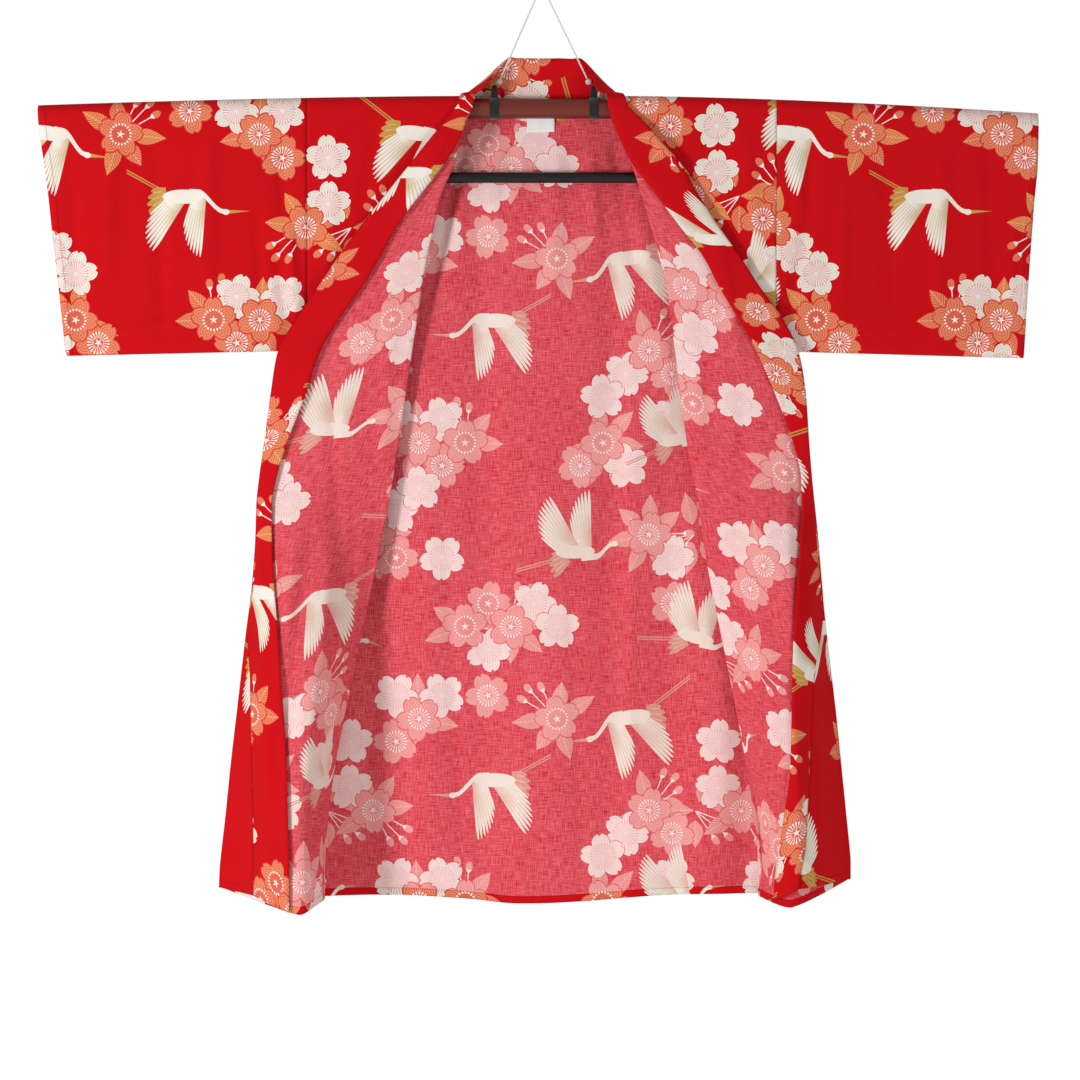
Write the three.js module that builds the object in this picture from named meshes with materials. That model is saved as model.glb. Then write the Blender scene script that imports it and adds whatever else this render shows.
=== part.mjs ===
// A short cotton yukata hung open on its rod hanger.
// Millimetres, +Z up, +X to the wearer's left, +Y behind the back, origin in the hanging ring.
import * as THREE from "three";
import { mergeVertices } from "three/addons/utils/BufferGeometryUtils.js";

// Cloth and seams
const CLOTH = 1.2;
const BAND_THICK = 2.8;
const SEAM_GAP = 0.3;
const HALF_SHOULDER = 305;
const NECK_HALF = 100;

// Hanger: a bowed rod through the sleeves, a straight bar that spreads the body
const ROD_Z = -165;
const ROD_RADIUS = 13.2;
const ROD_END = { right: 632, left: 624 };
const ROD_BOW = { right: 12, left: 23 };
const BOW_REACH = 550;
const BAR_Z = -255;
const BAR_RADIUS = 7;
const BAR_HALF = 200;

// How far from the rod's axis the cloth hangs, and how the two layers close up below it
const HANG_RADIUS = 16;
const FLAT_DEPTH = 6.2;
const CLOSING = 170;
const LAYER_STEP = { shoulder: 1.6, chest: 5 };
const BAND_STEP = { shoulder: 2.4, chest: 6 };
const FOLD_SIDES = 4;
const SEAM_FLAT = 4;
const SEAM_EASE = 26;

// The opened fronts, one row a height. Each number is a distance out from the centre line:
// side = armhole or side seam, fold = where the front turns back, outer = where it turns in again,
// seam = front to collar band, free = the band's free edge, swell = how far it stands forward.
const COLUMNS = ["z", "side", "fold", "outer", "seam", "free", "peak", "swell"];
const FRONT_RIGHT = [
  [-149, 305, 88, 101, 97, 83, 95, 0],
  [-165, 305, 94, 110, 106, 89, 102, 0],
  [-185, 305, 101, 126, 121, 98, 114, 0],
  [-210, 305, 107, 146, 141, 107, 127, 1],
  [-240, 305, 114, 170, 165, 126, 142, 1],
  [-280, 305, 131, 202, 197, 157, 167, 2],
  [-320, 305, 140, 234, 229, 187, 187, 3],
  [-360, 305, 149, 263, 258, 209, 206, 4],
  [-400, 305, 156, 290, 285, 233, 223, 5],
  [-440, 305, 162, 318, 313, 262, 240, 6],
  [-485, 305, 169, 342, 337, 288, 256, 6],
  [-540, 304, 177, 351, 346, 306, 264, 6],
  [-600, 302, 186, 359, 354, 329, 278, 8],
  [-650, 301, 194, 366, 361, 344, 296, 12],
  [-680, 301, 199, 369, 364, 349, 304, 20],
  [-720, 300, 207, 370, 365, 348, 312, 34],
  [-780, 298, 219, 374, 369, 344, 314, 52],
  [-840, 297, 232, 382, 377, 338, 314, 62],
  [-900, 295, 245, 389, 376, 333, 313, 70],
  [-960, 294, 257, 396, 374, 328, 312, 77],
  [-1020, 293, 268, 403, 372, 324, 311, 84],
  [-1080, 291, 276, 409, 370, 322, 310, 90],
  [-1130, 290, 280, 414, 369, 320, 309, 95],
  [-1165, 289, 281, 417, 369, 320, 308, 98],
  [-1191, 289, 281, 418, 369, 320, 307, 100],
];
const FRONT_LEFT = [
  [-149, 305, 88, 102, 98, 82, 95, 0],
  [-165, 305, 92, 112, 107, 86, 102, 0],
  [-185, 305, 98, 132, 127, 92, 116, 0],
  [-210, 305, 105, 153, 148, 102, 129, 1],
  [-240, 305, 117, 180, 175, 117, 148, 1],
  [-280, 305, 130, 203, 198, 148, 167, 2],
  [-320, 305, 142, 228, 223, 178, 185, 3],
  [-360, 305, 153, 257, 252, 209, 205, 4],
  [-400, 305, 163, 283, 278, 230, 223, 5],
  [-440, 305, 168, 312, 307, 254, 240, 6],
  [-485, 305, 174, 333, 328, 279, 254, 6],
  [-540, 303, 181, 342, 337, 303, 262, 6],
  [-600, 302, 189, 346, 341, 325, 272, 8],
  [-650, 301, 198, 350, 345, 336, 290, 12],
  [-680, 300, 204, 353, 348, 336, 300, 20],
  [-720, 299, 209, 357, 351, 333, 306, 34],
  [-780, 298, 219, 362, 353, 327, 312, 52],
  [-840, 297, 231, 368, 351, 322, 314, 62],
  [-900, 296, 243, 375, 348, 319, 315, 70],
  [-960, 294, 255, 382, 344, 317, 315, 77],
  [-1020, 293, 266, 388, 341, 315, 316, 84],
  [-1080, 292, 275, 394, 337, 307, 316, 88],
  [-1130, 291, 280, 398, 334, 300, 316, 92],
  [-1165, 290, 281, 400, 328, 296, 316, 95],
  [-1187, 289, 281, 400, 326, 294, 316, 97],
];

// Height of the hem below each line of the opened front
const HEM_RIGHT = { side: -1191, peak: -1202, outer: -1177, seam: -1182, free: -1199 };
const HEM_LEFT = { side: -1187, peak: -1193, outer: -1166, seam: -1169, free: -1186 };
const HEM_TURN = 120;

// The collar band around the back of the neck, from the shoulder to the middle of the back:
// seam = where it is sewn on, free = its standing edge, both as x out, y and z.
const NECK_COLUMNS = ["seamX", "seamY", "seamZ", "freeX", "freeY", "freeZ"];
const NECK_RIGHT = [
  [96.5, -6, -146, 75, -25, -142],
  [96.5, -1, -144.8, 67, -17, -132],
  [97, 4, -145.3, 58, -7, -117],
  [95, 10, -149, 44, 3, -99],
  [80, 16.5, -158, 32, 7, -98],
  [56, 19, -168.5, 20, 9, -98],
  [28, 19.5, -178, 9, 10, -98],
];
const NECK_LEFT = [
  [97, -6, -146, 72, -25, -145],
  [97, -1, -144.8, 68, -17, -133],
  [97.5, 4, -145.3, 62, -7, -117],
  [95, 10, -149, 52, 3, -100],
  [81, 16.5, -158, 38, 7, -99],
  [56, 19, -168.5, 24, 9, -98],
  [28, 19.5, -178, 11, 10, -98],
];
const NECK_MIDDLE = [0, 20, -182, 0, 10, -98];

// Sleeves: the cuff slants, and the lower edge rises toward the body
const CUFF_RIGHT = [[-149, 655], [-187, 653], [-211, 646], [-245, 642], [-288, 638], [-345, 633],
  [-420, 625], [-487, 619]];
const CUFF_LEFT = [[-149, 645], [-224, 644], [-300, 639], [-390, 633], [-490, 627]];
const SLEEVE_FOOT = { right: { body: -480, cuff: -487 }, left: { body: -481, cuff: -490 } };
const SLEEVE_STEPS = 11;
const SLEEVE_SIDE_ROWS = 12;

// Soft upright folds of the back panel: where, how wide and deep, and the heights they run between
const BACK_FOLDS = [
  { x: -222, wide: 26, deep: 5, from: -260, to: -1191 },
  { x: -150, wide: 20, deep: -4, from: -420, to: -1191 },
  { x: -78, wide: 24, deep: 4, from: -185, to: -900 },
  { x: 10, wide: 40, deep: -4, from: -500, to: -1191 },
  { x: 92, wide: 26, deep: 4, from: -190, to: -1000 },
  { x: 170, wide: 30, deep: 5, from: -450, to: -1191 },
  { x: 236, wide: 22, deep: -4, from: -600, to: -1191 },
];
const NECK_SCOOP = -184;
const NECK_EASE = 3.5;
const BACK_HEM = [[-289, -1191], [-180, -1190], [-110, -1194], [-30, -1201], [60, -1198], [150, -1191],
  [289, -1187]];

function smooth(t) {
  const s = Math.min(1, Math.max(0, t));
  return s * s * (3 - 2 * s);
}

function mix(a, b, t) {
  return a + (b - a) * t;
}

function rowsOf(table, names) {
  return table.map((row) => Object.fromEntries(names.map((name, i) => [name, row[i]])));
}

// Value of a table of pairs at a place along it
function along(pairs, place) {
  const up = pairs[1][0] > pairs[0][0];
  const first = pairs[0];
  const last = pairs[pairs.length - 1];
  if (up ? place <= first[0] : place >= first[0]) return first[1];
  if (up ? place >= last[0] : place <= last[0]) return last[1];
  const next = pairs.findIndex(([at]) => (up ? at > place : at < place));
  const [a, va] = pairs[next - 1];
  const [b, vb] = pairs[next];
  return mix(va, vb, (place - a) / (b - a));
}

// How much lower the bowed rod lies at x
function bow(x) {
  const reach = Math.max(0, Math.abs(x) - NECK_HALF) / BOW_REACH;
  return (x < 0 ? ROD_BOW.right : ROD_BOW.left) * Math.pow(reach, 1.6);
}

// Half the space between the front and back layers at a height
function halfDepth(z) {
  const drop = Math.max(0, ROD_Z - z) / CLOSING;
  return FLAT_DEPTH + (HANG_RADIUS - FLAT_DEPTH) * Math.exp(-drop * drop);
}

// Place of a hanging layer: face is -1 for the front and 1 for the back, out is its lift off the rod
function hang(x, z, face, out) {
  if (z > ROD_Z) {
    const turn = Math.acos(Math.min(1, (z - ROD_Z) / HANG_RADIUS));
    const radius = HANG_RADIUS + out;
    const edge = (SEAM_GAP / 2) * face;
    return [x, face * radius * Math.sin(turn) + edge, ROD_Z - bow(x) + radius * Math.cos(turn)];
  }
  const fade = 1 - smooth((ROD_Z - z) / 130);
  return [x, face * (halfDepth(z) + out), z - bow(x) * fade];
}

// Direction of a line of points at one of them, true to its curve at the ends too
function tangent(at, k, count, around) {
  if (around || (k > 0 && k < count - 1)) return at(k + 1).sub(at(k - 1));
  const inward = k === 0 ? 1 : -1;
  const near = at(k + inward);
  const next = at(k + 2 * inward);
  return near.multiplyScalar(4).sub(next).sub(at(k).multiplyScalar(3)).multiplyScalar(inward);
}

// Closed solid: a sheet of points, thickened to both sides by its own normals
function wall(grid, thick, around = false) {
  const rows = grid.length;
  const cols = grid[0].length;
  const at = (i, j) => new THREE.Vector3(...grid[i][around ? (j + cols) % cols : Math.min(cols - 1, Math.max(0, j))]);
  const points = [];
  for (const side of [1, -1]) {
    for (let i = 0; i < rows; i += 1) {
      for (let j = 0; j < cols; j += 1) {
        const down = tangent((k) => at(k, j), i, rows, false);
        const across = tangent((k) => at(i, k), j, cols, around);
        const normal = down.cross(across).normalize();
        points.push(at(i, j).addScaledVector(normal, (side * thick) / 2));
      }
    }
  }
  const id = (side, i, j) => side * rows * cols + i * cols + ((j + cols) % cols);
  const faces = [];
  const quad = (a, b, c, d) => faces.push(a, b, c, a, c, d);
  const lastCol = around ? cols : cols - 1;
  for (let i = 0; i < rows - 1; i += 1) {
    for (let j = 0; j < lastCol; j += 1) {
      quad(id(0, i, j), id(0, i + 1, j), id(0, i + 1, j + 1), id(0, i, j + 1));
      quad(id(1, i, j), id(1, i, j + 1), id(1, i + 1, j + 1), id(1, i + 1, j));
    }
  }
  for (let j = 0; j < lastCol; j += 1) {
    quad(id(0, 0, j), id(0, 0, j + 1), id(1, 0, j + 1), id(1, 0, j));
    quad(id(0, rows - 1, j + 1), id(0, rows - 1, j), id(1, rows - 1, j), id(1, rows - 1, j + 1));
  }
  for (let i = 0; i < rows - 1 && !around; i += 1) {
    quad(id(0, i + 1, 0), id(0, i, 0), id(1, i, 0), id(1, i + 1, 0));
    quad(id(0, i, cols - 1), id(0, i + 1, cols - 1), id(1, i + 1, cols - 1), id(1, i, cols - 1));
  }
  const geometry = new THREE.BufferGeometry().setFromPoints(points);
  geometry.setIndex(faces);
  return volume(geometry) < 0 ? flipped(geometry) : geometry;
}

function volume(geometry) {
  const place = geometry.getAttribute("position");
  const index = geometry.getIndex().array;
  let sum = 0;
  for (let k = 0; k < index.length; k += 3) {
    const [a, b, c] = [0, 1, 2].map((n) => new THREE.Vector3().fromBufferAttribute(place, index[k + n]));
    sum += a.dot(b.cross(c)) / 6;
  }
  return sum;
}

function flipped(geometry) {
  const index = Array.from(geometry.getIndex().array);
  for (let k = 0; k < index.length; k += 3) [index[k], index[k + 1]] = [index[k + 1], index[k]];
  geometry.setIndex(index);
  return geometry;
}

// Lift of one layer of the opened front over the one under it, close at the shoulder
function layerStep(step, z) {
  return mix(step.shoulder, step.chest, smooth((-150 - z) / 80));
}

// The opened front at one height, as functions of the distance out from the centre line
function frontSection(row) {
  const closed = smooth((-450 - row.z) / 40);
  const width = row.side - row.fold;
  const flat = Math.min(SEAM_FLAT, width / 3);
  const depth = Math.min(halfDepth(row.z), 1.2 + 0.6 * width);
  const under = (out) => {
    const inward = smooth((row.side - flat - out) / Math.min(SEAM_EASE, width - flat));
    return mix(depth, mix(CLOTH / 2 + SEAM_GAP / 2, depth, inward), closed);
  };
  const reach = (row.outer - row.peak) / (row.outer - row.fold);
  const power = Math.log(0.5) / Math.log(1 - reach);
  const flap = (out) => {
    const t = Math.min(1, Math.max(0, (out - row.fold) / (row.outer - row.fold)));
    const lift = Math.sin(Math.PI * Math.pow(t, power));
    return under(row.fold) + layerStep(LAYER_STEP, row.z) + mix(0, 4, t) * closed + row.swell * lift;
  };
  return { under, flap };
}

// Points of the front's cut edge to edge at one height: [out, depth, leg] from side seam to band seam
function frontPath(row) {
  const { under, flap } = frontSection(row);
  const path = [];
  const inner = Math.min(layerStep(LAYER_STEP, row.z) / 2, (row.side - row.fold) / 2);
  path.push([row.side, under(row.side), "under"]);
  const flat = Math.min(SEAM_FLAT, (row.side - row.fold) / 3);
  for (let k = 0; k <= 6; k += 1) {
    const out = mix(row.side - flat, row.fold + inner, k / 6);
    path.push([out, under(out), "under"]);
  }
  const mid = (under(row.fold + inner) + flap(row.fold + inner)) / 2;
  const half = flap(row.fold + inner) - mid;
  for (let k = 1; k < FOLD_SIDES; k += 1) {
    const turn = (Math.PI * k) / FOLD_SIDES;
    path.push([row.fold + inner - inner * Math.sin(turn), mid - half * Math.cos(turn), "under"]);
  }
  const step = layerStep(BAND_STEP, row.z);
  const turnIn = Math.min(step / 2, (row.outer - row.fold) / 4);
  for (let k = 0; k <= 11; k += 1) {
    const out = mix(row.fold + inner, row.outer - turnIn, k / 11);
    path.push([out, flap(out), "flap"]);
  }
  const base = flap(row.outer - turnIn);
  for (let k = 1; k < FOLD_SIDES; k += 1) {
    const turn = (Math.PI * k) / FOLD_SIDES;
    const out = row.outer - turnIn + turnIn * Math.sin(turn);
    path.push([out, base + (step / 2) * (1 - Math.cos(turn)), "strip"]);
  }
  for (let k = 0; k <= 4; k += 1) {
    const out = mix(row.outer - turnIn, row.seam + SEAM_GAP / 2, k / 4);
    path.push([out, flap(out) + step, "strip"]);
  }
  return path;
}

// Hem height below a point of the section
function hemHeight(row, hem, out, leg) {
  if (leg === "under") return hem.side;
  if (leg === "flap") {
    if (out < row.peak) return mix(hem.side, hem.peak, smooth((out - row.fold) / (row.peak - row.fold)));
    return mix(hem.peak, hem.outer, (out - row.peak) / (row.outer - row.peak));
  }
  if (out > row.seam) return mix(hem.seam, hem.outer, (out - row.seam) / (row.outer - row.seam));
  return mix(hem.seam, hem.free, (row.seam - out) / (row.seam - row.free));
}

function frontPoint(row, hem, last, sign, out, depth, leg) {
  const [x, , z] = hang(sign * out, row.z, -1, 0);
  const ramp = smooth((last + HEM_TURN - row.z) / HEM_TURN);
  const low = z + (hemHeight(row, hem, out, leg) - last) * ramp;
  if (row.z <= ROD_Z) return [x, -depth, low];
  const lift = depth - frontSection(row).under(out);
  return hang(sign * out, row.z, -1, lift);
}

// The same rows with two more between the first ones, where the cloth bends over the rod
function overRod(rows) {
  const [top, next, ...rest] = rows;
  const bent = [Math.PI / 6, Math.PI / 3].map((turn) => {
    const t = turn / (Math.PI / 2);
    const row = Object.fromEntries(Object.keys(top).map((name) => [name, mix(top[name], next[name], t)]));
    return { ...row, z: ROD_Z + HANG_RADIUS * Math.cos(turn) };
  });
  return [top, ...bent, next, ...rest];
}

const rightRows = overRod(rowsOf(FRONT_RIGHT, COLUMNS));
const leftRows = overRod(rowsOf(FRONT_LEFT, COLUMNS));

function front(rows, hem, sign) {
  const last = rows[rows.length - 1].z;
  return rows.map((row) => frontPath(row).map((p) => frontPoint(row, hem, last, sign, ...p)));
}

// Collar band stations up one front, then round the neck: each a line of points from seam to free edge
const BAND_ACROSS = 4;

function bandOnFront(rows, hem, sign) {
  const last = rows[rows.length - 1].z;
  return rows.map((row) => {
    const { flap } = frontSection(row);
    const line = [];
    for (let k = 0; k <= BAND_ACROSS; k += 1) {
      const out = mix(row.seam - SEAM_GAP / 2, row.free, k / BAND_ACROSS);
      const depth = flap(Math.max(out, row.fold)) + layerStep(BAND_STEP, row.z);
      line.push(frontPoint(row, hem, last, sign, out, depth, "band"));
    }
    return line;
  });
}

function bandRoundNeck(table, sign) {
  return rowsOf(table, NECK_COLUMNS).map((row) => {
    const line = [];
    for (let k = 0; k <= BAND_ACROSS; k += 1) {
      const t = k / BAND_ACROSS;
      line.push([sign * mix(row.seamX, row.freeX, t), mix(row.seamY, row.freeY, t),
        mix(row.seamZ, row.freeZ, t)]);
    }
    return line;
  });
}

function collar() {
  const right = bandOnFront(rightRows.slice(1), HEM_RIGHT, -1).reverse();
  const left = bandOnFront(leftRows.slice(1), HEM_LEFT, 1);
  const middle = bandRoundNeck([NECK_MIDDLE], 1);
  return [...right, ...bandRoundNeck(NECK_RIGHT, -1), ...middle,
    ...bandRoundNeck(NECK_LEFT, 1).reverse(), ...left];
}

// Back panel: its top edge is the shoulder seams and, between them, the scooped neck
function backTop(x) {
  const across = Math.min(1, Math.abs(x) / NECK_HALF);
  return across < 1 ? mix(NECK_SCOOP, ROD_Z + HANG_RADIUS, Math.pow(across, 1.7)) : ROD_Z + HANG_RADIUS;
}

function backFolds(x, z) {
  let depth = 0;
  for (const fold of BACK_FOLDS) {
    const run = smooth((fold.from - z) / 160) * (1 - 0.4 * smooth((fold.to - z + 200) / 200));
    const edge = smooth((HALF_SHOULDER - 15 - Math.abs(x)) / 50);
    depth += fold.deep * run * edge * Math.exp(-(((x - fold.x) / fold.wide) ** 2));
  }
  return depth;
}

// The back stands a little off the rod below the neck, where the collar is sewn to it
function neckEase(x, z) {
  return NECK_EASE * smooth((NECK_HALF - 4 - Math.abs(x)) / 25) * smooth((z + 230) / 40);
}

function backPoint(x, z, side) {
  const closed = smooth((-450 - z) / 40);
  const depth = halfDepth(z);
  const inward = smooth((side - SEAM_FLAT - Math.abs(x)) / SEAM_EASE);
  const near = mix(depth, mix(CLOTH / 2 + SEAM_GAP / 2, depth, inward), closed);
  const [px, py, pz] = hang(x, z, 1, 0);
  const ease = neckEase(x, z);
  return z > ROD_Z ? [px, py + ease, pz] : [px, near + ease + backFolds(x, z), pz];
}

// Columns of the back panel, out from the centre line, close together where the neck is scooped
const BACK_COLUMNS = [0, 25, 50, 70, 82, 90, 96, 100, 125, 160, 195, 230, 265, 301, 305];

function back() {
  const levels = rightRows.map((row) => row.z);
  const settle = levels.findIndex((z) => z <= -240);
  const bottom = levels[levels.length - 1];
  return levels.map((level, i) => {
    const line = [];
    const columns = [...BACK_COLUMNS.slice(1).map((out) => -out).reverse(), ...BACK_COLUMNS];
    for (const column of columns) {
      const rows = column < 0 ? FRONT_RIGHT : FRONT_LEFT;
      const side = along(rows.map((row) => [row[0], row[1]]), level);
      const edge = HALF_SHOULDER - SEAM_FLAT;
      const x = Math.abs(column) > edge ? Math.sign(column) * side : (column / edge) * (side - SEAM_FLAT);
      const top = backTop(x);
      const scooped = mix(levels[settle], top, (level - levels[settle]) / (levels[0] - levels[settle]));
      const hem = (along(BACK_HEM, x) - bottom) * smooth((bottom + HEM_TURN - level) / HEM_TURN);
      line.push(backPoint(x, (i < settle ? scooped : level) + hem, side));
    }
    return line;
  });
}

// Label: a flat tape sewn at the neck seam, over the collar's foot and the top of the back
const LABEL = { left: -19.4, right: 16.9, top: -170, bottom: -193.4, topY: 16.5, bottomY: 17.9 };

function label() {
  const grid = [];
  for (let i = 0; i <= 3; i += 1) {
    const line = [];
    for (let k = 0; k <= 4; k += 1) {
      line.push([mix(LABEL.left, LABEL.right, k / 4), mix(LABEL.topY, LABEL.bottomY, i / 3),
        mix(LABEL.top, LABEL.bottom, i / 3)]);
    }
    grid.push(line);
  }
  return grid;
}

// Sleeve: rings of a hanging loop, from the armhole seam out to the slanted cuff
function sleeve(side, sign, cuff) {
  const foot = SLEEVE_FOOT[side];
  const grid = [];
  for (let i = 0; i <= SLEEVE_STEPS; i += 1) {
    const t = i / SLEEVE_STEPS;
    const low = mix(foot.body, foot.cuff, t);
    const ring = [];
    const place = (level, face, squeeze) => {
      const edge = along(cuff, level);
      const x = sign * mix(HALF_SHOULDER + SEAM_GAP, edge, t);
      const [px, py, pz] = hang(x, level, face, 0);
      ring.push([px, py * squeeze, pz]);
    };
    const levels = [];
    for (let k = 1; k <= 3; k += 1) levels.push(ROD_Z + HANG_RADIUS * Math.cos((k * Math.PI) / 8));
    for (let k = 0; k <= SLEEVE_SIDE_ROWS; k += 1) {
      levels.push(mix(ROD_Z, low + FLAT_DEPTH, k / SLEEVE_SIDE_ROWS));
    }
    ring.push([sign * mix(HALF_SHOULDER + SEAM_GAP, along(cuff, ROD_Z), t), 0,
      ROD_Z + HANG_RADIUS - bow(sign * mix(HALF_SHOULDER, along(cuff, ROD_Z), t))]);
    levels.forEach((level) => place(level, -1, 1));
    for (const turn of [-0.5, 0, 0.5]) {
      place(low + FLAT_DEPTH * (1 - Math.cos(turn * Math.PI * 0.66)), turn < 0 ? -1 : 1, Math.abs(turn) * 1.7);
    }
    levels.reverse().forEach((level) => place(level, 1, 1));
    grid.push(ring);
  }
  return grid;
}

// Hanger pieces
function rodTube() {
  const points = [];
  for (let k = 0; k <= 24; k += 1) {
    const x = mix(-ROD_END.right, ROD_END.left, k / 24);
    points.push(new THREE.Vector3(x, 0, ROD_Z - bow(x)));
  }
  const path = new THREE.CatmullRomCurve3(points);
  return new THREE.ExtrudeGeometry(circle(ROD_RADIUS, 16), { steps: 20, bevelEnabled: false, extrudePath: path });
}

function circle(radius, sides) {
  const shape = new THREE.Shape();
  for (let k = 0; k < sides; k += 1) {
    const turn = (2 * Math.PI * k) / sides;
    const place = [radius * Math.cos(turn), radius * Math.sin(turn)];
    if (k === 0) shape.moveTo(...place);
    else shape.lineTo(...place);
  }
  shape.closePath();
  return shape;
}

const STRAP = { width: 12, thick: 1.5, ear: 7, earTop: 30 };
const STRAP_X = { right: -61.5, left: 68 };

// Strap round the rod with an ear that the string's bead sits on, drawn across and pulled along X
function strap() {
  const inner = ROD_RADIUS + SEAM_GAP;
  const outer = inner + STRAP.thick;
  const shape = new THREE.Shape();
  const open = Math.asin(STRAP.ear / 2 / outer);
  shape.moveTo(STRAP.ear / 2, STRAP.earTop);
  shape.lineTo(STRAP.ear / 2, outer * Math.cos(open));
  shape.absarc(0, 0, outer, Math.PI / 2 - open, Math.PI / 2 + open, true);
  shape.lineTo(-STRAP.ear / 2, STRAP.earTop);
  shape.closePath();
  const hole = new THREE.Path();
  hole.absarc(0, 0, inner, 0, 2 * Math.PI, false);
  shape.holes.push(hole);
  return acrossX(shape, STRAP.width, 14);
}

const LOOP = { width: 10, thick: 1.1, x: 150 };

// Flat loop that carries the spreader bar under the rod
function barLoop(x) {
  const drop = ROD_Z - bow(x) - BAR_Z;
  const ring = (path, thick) => {
    const top = ROD_RADIUS + SEAM_GAP + thick;
    const low = BAR_RADIUS + SEAM_GAP + thick;
    const lean = Math.asin((top - low) / drop);
    path.moveTo(top * Math.cos(lean), -top * Math.sin(-lean));
    path.absarc(0, 0, top, lean, Math.PI - lean, false);
    path.absarc(0, -drop, low, Math.PI - lean, lean, false);
    path.closePath();
    return path;
  };
  const shape = ring(new THREE.Shape(), LOOP.thick);
  shape.holes.push(ring(new THREE.Path(), 0));
  return acrossX(shape, LOOP.width, 10);
}

// Outline drawn in Y and Z, pulled along X and centred on it
function acrossX(shape, width, segments) {
  const geometry = new THREE.ExtrudeGeometry(shape, { depth: width, bevelEnabled: false, curveSegments: segments });
  geometry.translate(0, 0, -width / 2);
  geometry.rotateX(Math.PI / 2);
  geometry.rotateZ(Math.PI / 2);
  return geometry;
}

const BEAD_RADIUS = 4.4;
const STRING_RADIUS = 1;
const RING = { radius: 7, wire: 1.3 };

function beadPlace(x) {
  const earTop = ROD_Z + STRAP.earTop;
  return new THREE.Vector3(x * 0.9, 0, earTop + BEAD_RADIUS + SEAM_GAP);
}

function stringTube(x) {
  const bead = beadPlace(x);
  const foot = new THREE.Vector3(Math.sign(x) * 2.2, 0, -RING.radius - RING.wire - 1.5 * SEAM_GAP);
  const way = foot.clone().sub(bead).normalize();
  const start = bead.clone().addScaledVector(way, BEAD_RADIUS + SEAM_GAP);
  const path = new THREE.LineCurve3(start, foot);
  return new THREE.ExtrudeGeometry(circle(STRING_RADIUS, 8), { steps: 12, bevelEnabled: false, extrudePath: path });
}

function ringTorus() {
  const profile = [];
  for (let k = 0; k <= 8; k += 1) {
    const turn = (2 * Math.PI * k) / 8;
    profile.push(new THREE.Vector2(RING.radius + RING.wire * Math.cos(turn), RING.wire * Math.sin(turn)));
  }
  return new THREE.LatheGeometry(profile, 22);
}

// Materials
const cotton = new THREE.MeshStandardMaterial({ color: 0xc8141c, roughness: 0.85 });
const labelCloth = new THREE.MeshStandardMaterial({ color: 0xf2f0ee, roughness: 0.7 });
const brownRod = new THREE.MeshStandardMaterial({ color: 0x7a3220, roughness: 0.45 });
const blackBar = new THREE.MeshStandardMaterial({ color: 0x101010, roughness: 0.4 });
const blackStrap = new THREE.MeshStandardMaterial({ color: 0x151515, roughness: 0.9 });
const clearBead = new THREE.MeshStandardMaterial({ color: 0xe6e6e6, roughness: 0.2 });
const whiteString = new THREE.MeshStandardMaterial({ color: 0xf0eeea, roughness: 0.8 });
const steel = new THREE.MeshStandardMaterial({ color: 0xb8b8b8, roughness: 0.3, metalness: 1 });

const yukata = new THREE.Group();

function add(name, geometry, material) {
  geometry.deleteAttribute("normal");
  geometry.deleteAttribute("uv");
  const mesh = new THREE.Mesh(mergeVertices(geometry, 1e-4), material);
  mesh.name = name;
  yukata.add(mesh);
  return mesh;
}

// Garment, in sewing order
add("back", wall(back(), CLOTH), cotton);
add("front_right", wall(front(rightRows, HEM_RIGHT, -1), CLOTH), cotton);
add("front_left", wall(front(leftRows, HEM_LEFT, 1), CLOTH), cotton);
add("sleeve_right", wall(sleeve("right", -1, CUFF_RIGHT), CLOTH, true), cotton);
add("sleeve_left", wall(sleeve("left", 1, CUFF_LEFT), CLOTH, true), cotton);
add("collar", wall(collar(), BAND_THICK), cotton);
add("neck_label", wall(label(), 0.5), labelCloth);

// Hanger
add("rod", rodTube(), brownRod);
add("spreader_bar", new THREE.CylinderGeometry(BAR_RADIUS, BAR_RADIUS, 2 * BAR_HALF, 20).rotateZ(Math.PI / 2),
  blackBar).position.z = BAR_Z;
for (const [side, x] of Object.entries(STRAP_X)) {
  add(`strap_${side}`, strap(), blackStrap).position.set(x, 0, ROD_Z);
  add(`bead_${side}`, new THREE.SphereGeometry(BEAD_RADIUS, 10, 8), clearBead).position.copy(beadPlace(x));
  add(`string_${side}`, stringTube(x), whiteString);
}
for (const [side, x] of [["right", -LOOP.x], ["left", LOOP.x]]) {
  add(`bar_loop_${side}`, barLoop(x), blackStrap).position.set(x, 0, ROD_Z - bow(x));
}
add("hanging_ring", ringTorus(), steel);

export default yukata;
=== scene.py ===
import math
from functools import partialmethod
import bpy
import bmesh
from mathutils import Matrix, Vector


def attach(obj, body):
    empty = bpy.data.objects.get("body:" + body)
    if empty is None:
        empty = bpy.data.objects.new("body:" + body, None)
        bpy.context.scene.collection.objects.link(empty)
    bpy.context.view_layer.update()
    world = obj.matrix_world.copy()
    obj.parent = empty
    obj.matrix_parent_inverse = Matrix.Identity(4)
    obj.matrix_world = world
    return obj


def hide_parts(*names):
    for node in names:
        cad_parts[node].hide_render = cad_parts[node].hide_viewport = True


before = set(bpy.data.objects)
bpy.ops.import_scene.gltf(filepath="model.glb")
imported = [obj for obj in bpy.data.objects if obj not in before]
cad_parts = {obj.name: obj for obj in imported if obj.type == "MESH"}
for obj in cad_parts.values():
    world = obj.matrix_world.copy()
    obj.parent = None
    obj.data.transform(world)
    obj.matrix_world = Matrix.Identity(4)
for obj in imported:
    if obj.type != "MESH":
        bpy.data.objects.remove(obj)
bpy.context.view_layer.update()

bpy.ops.object.select_all(action="DESELECT")

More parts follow.
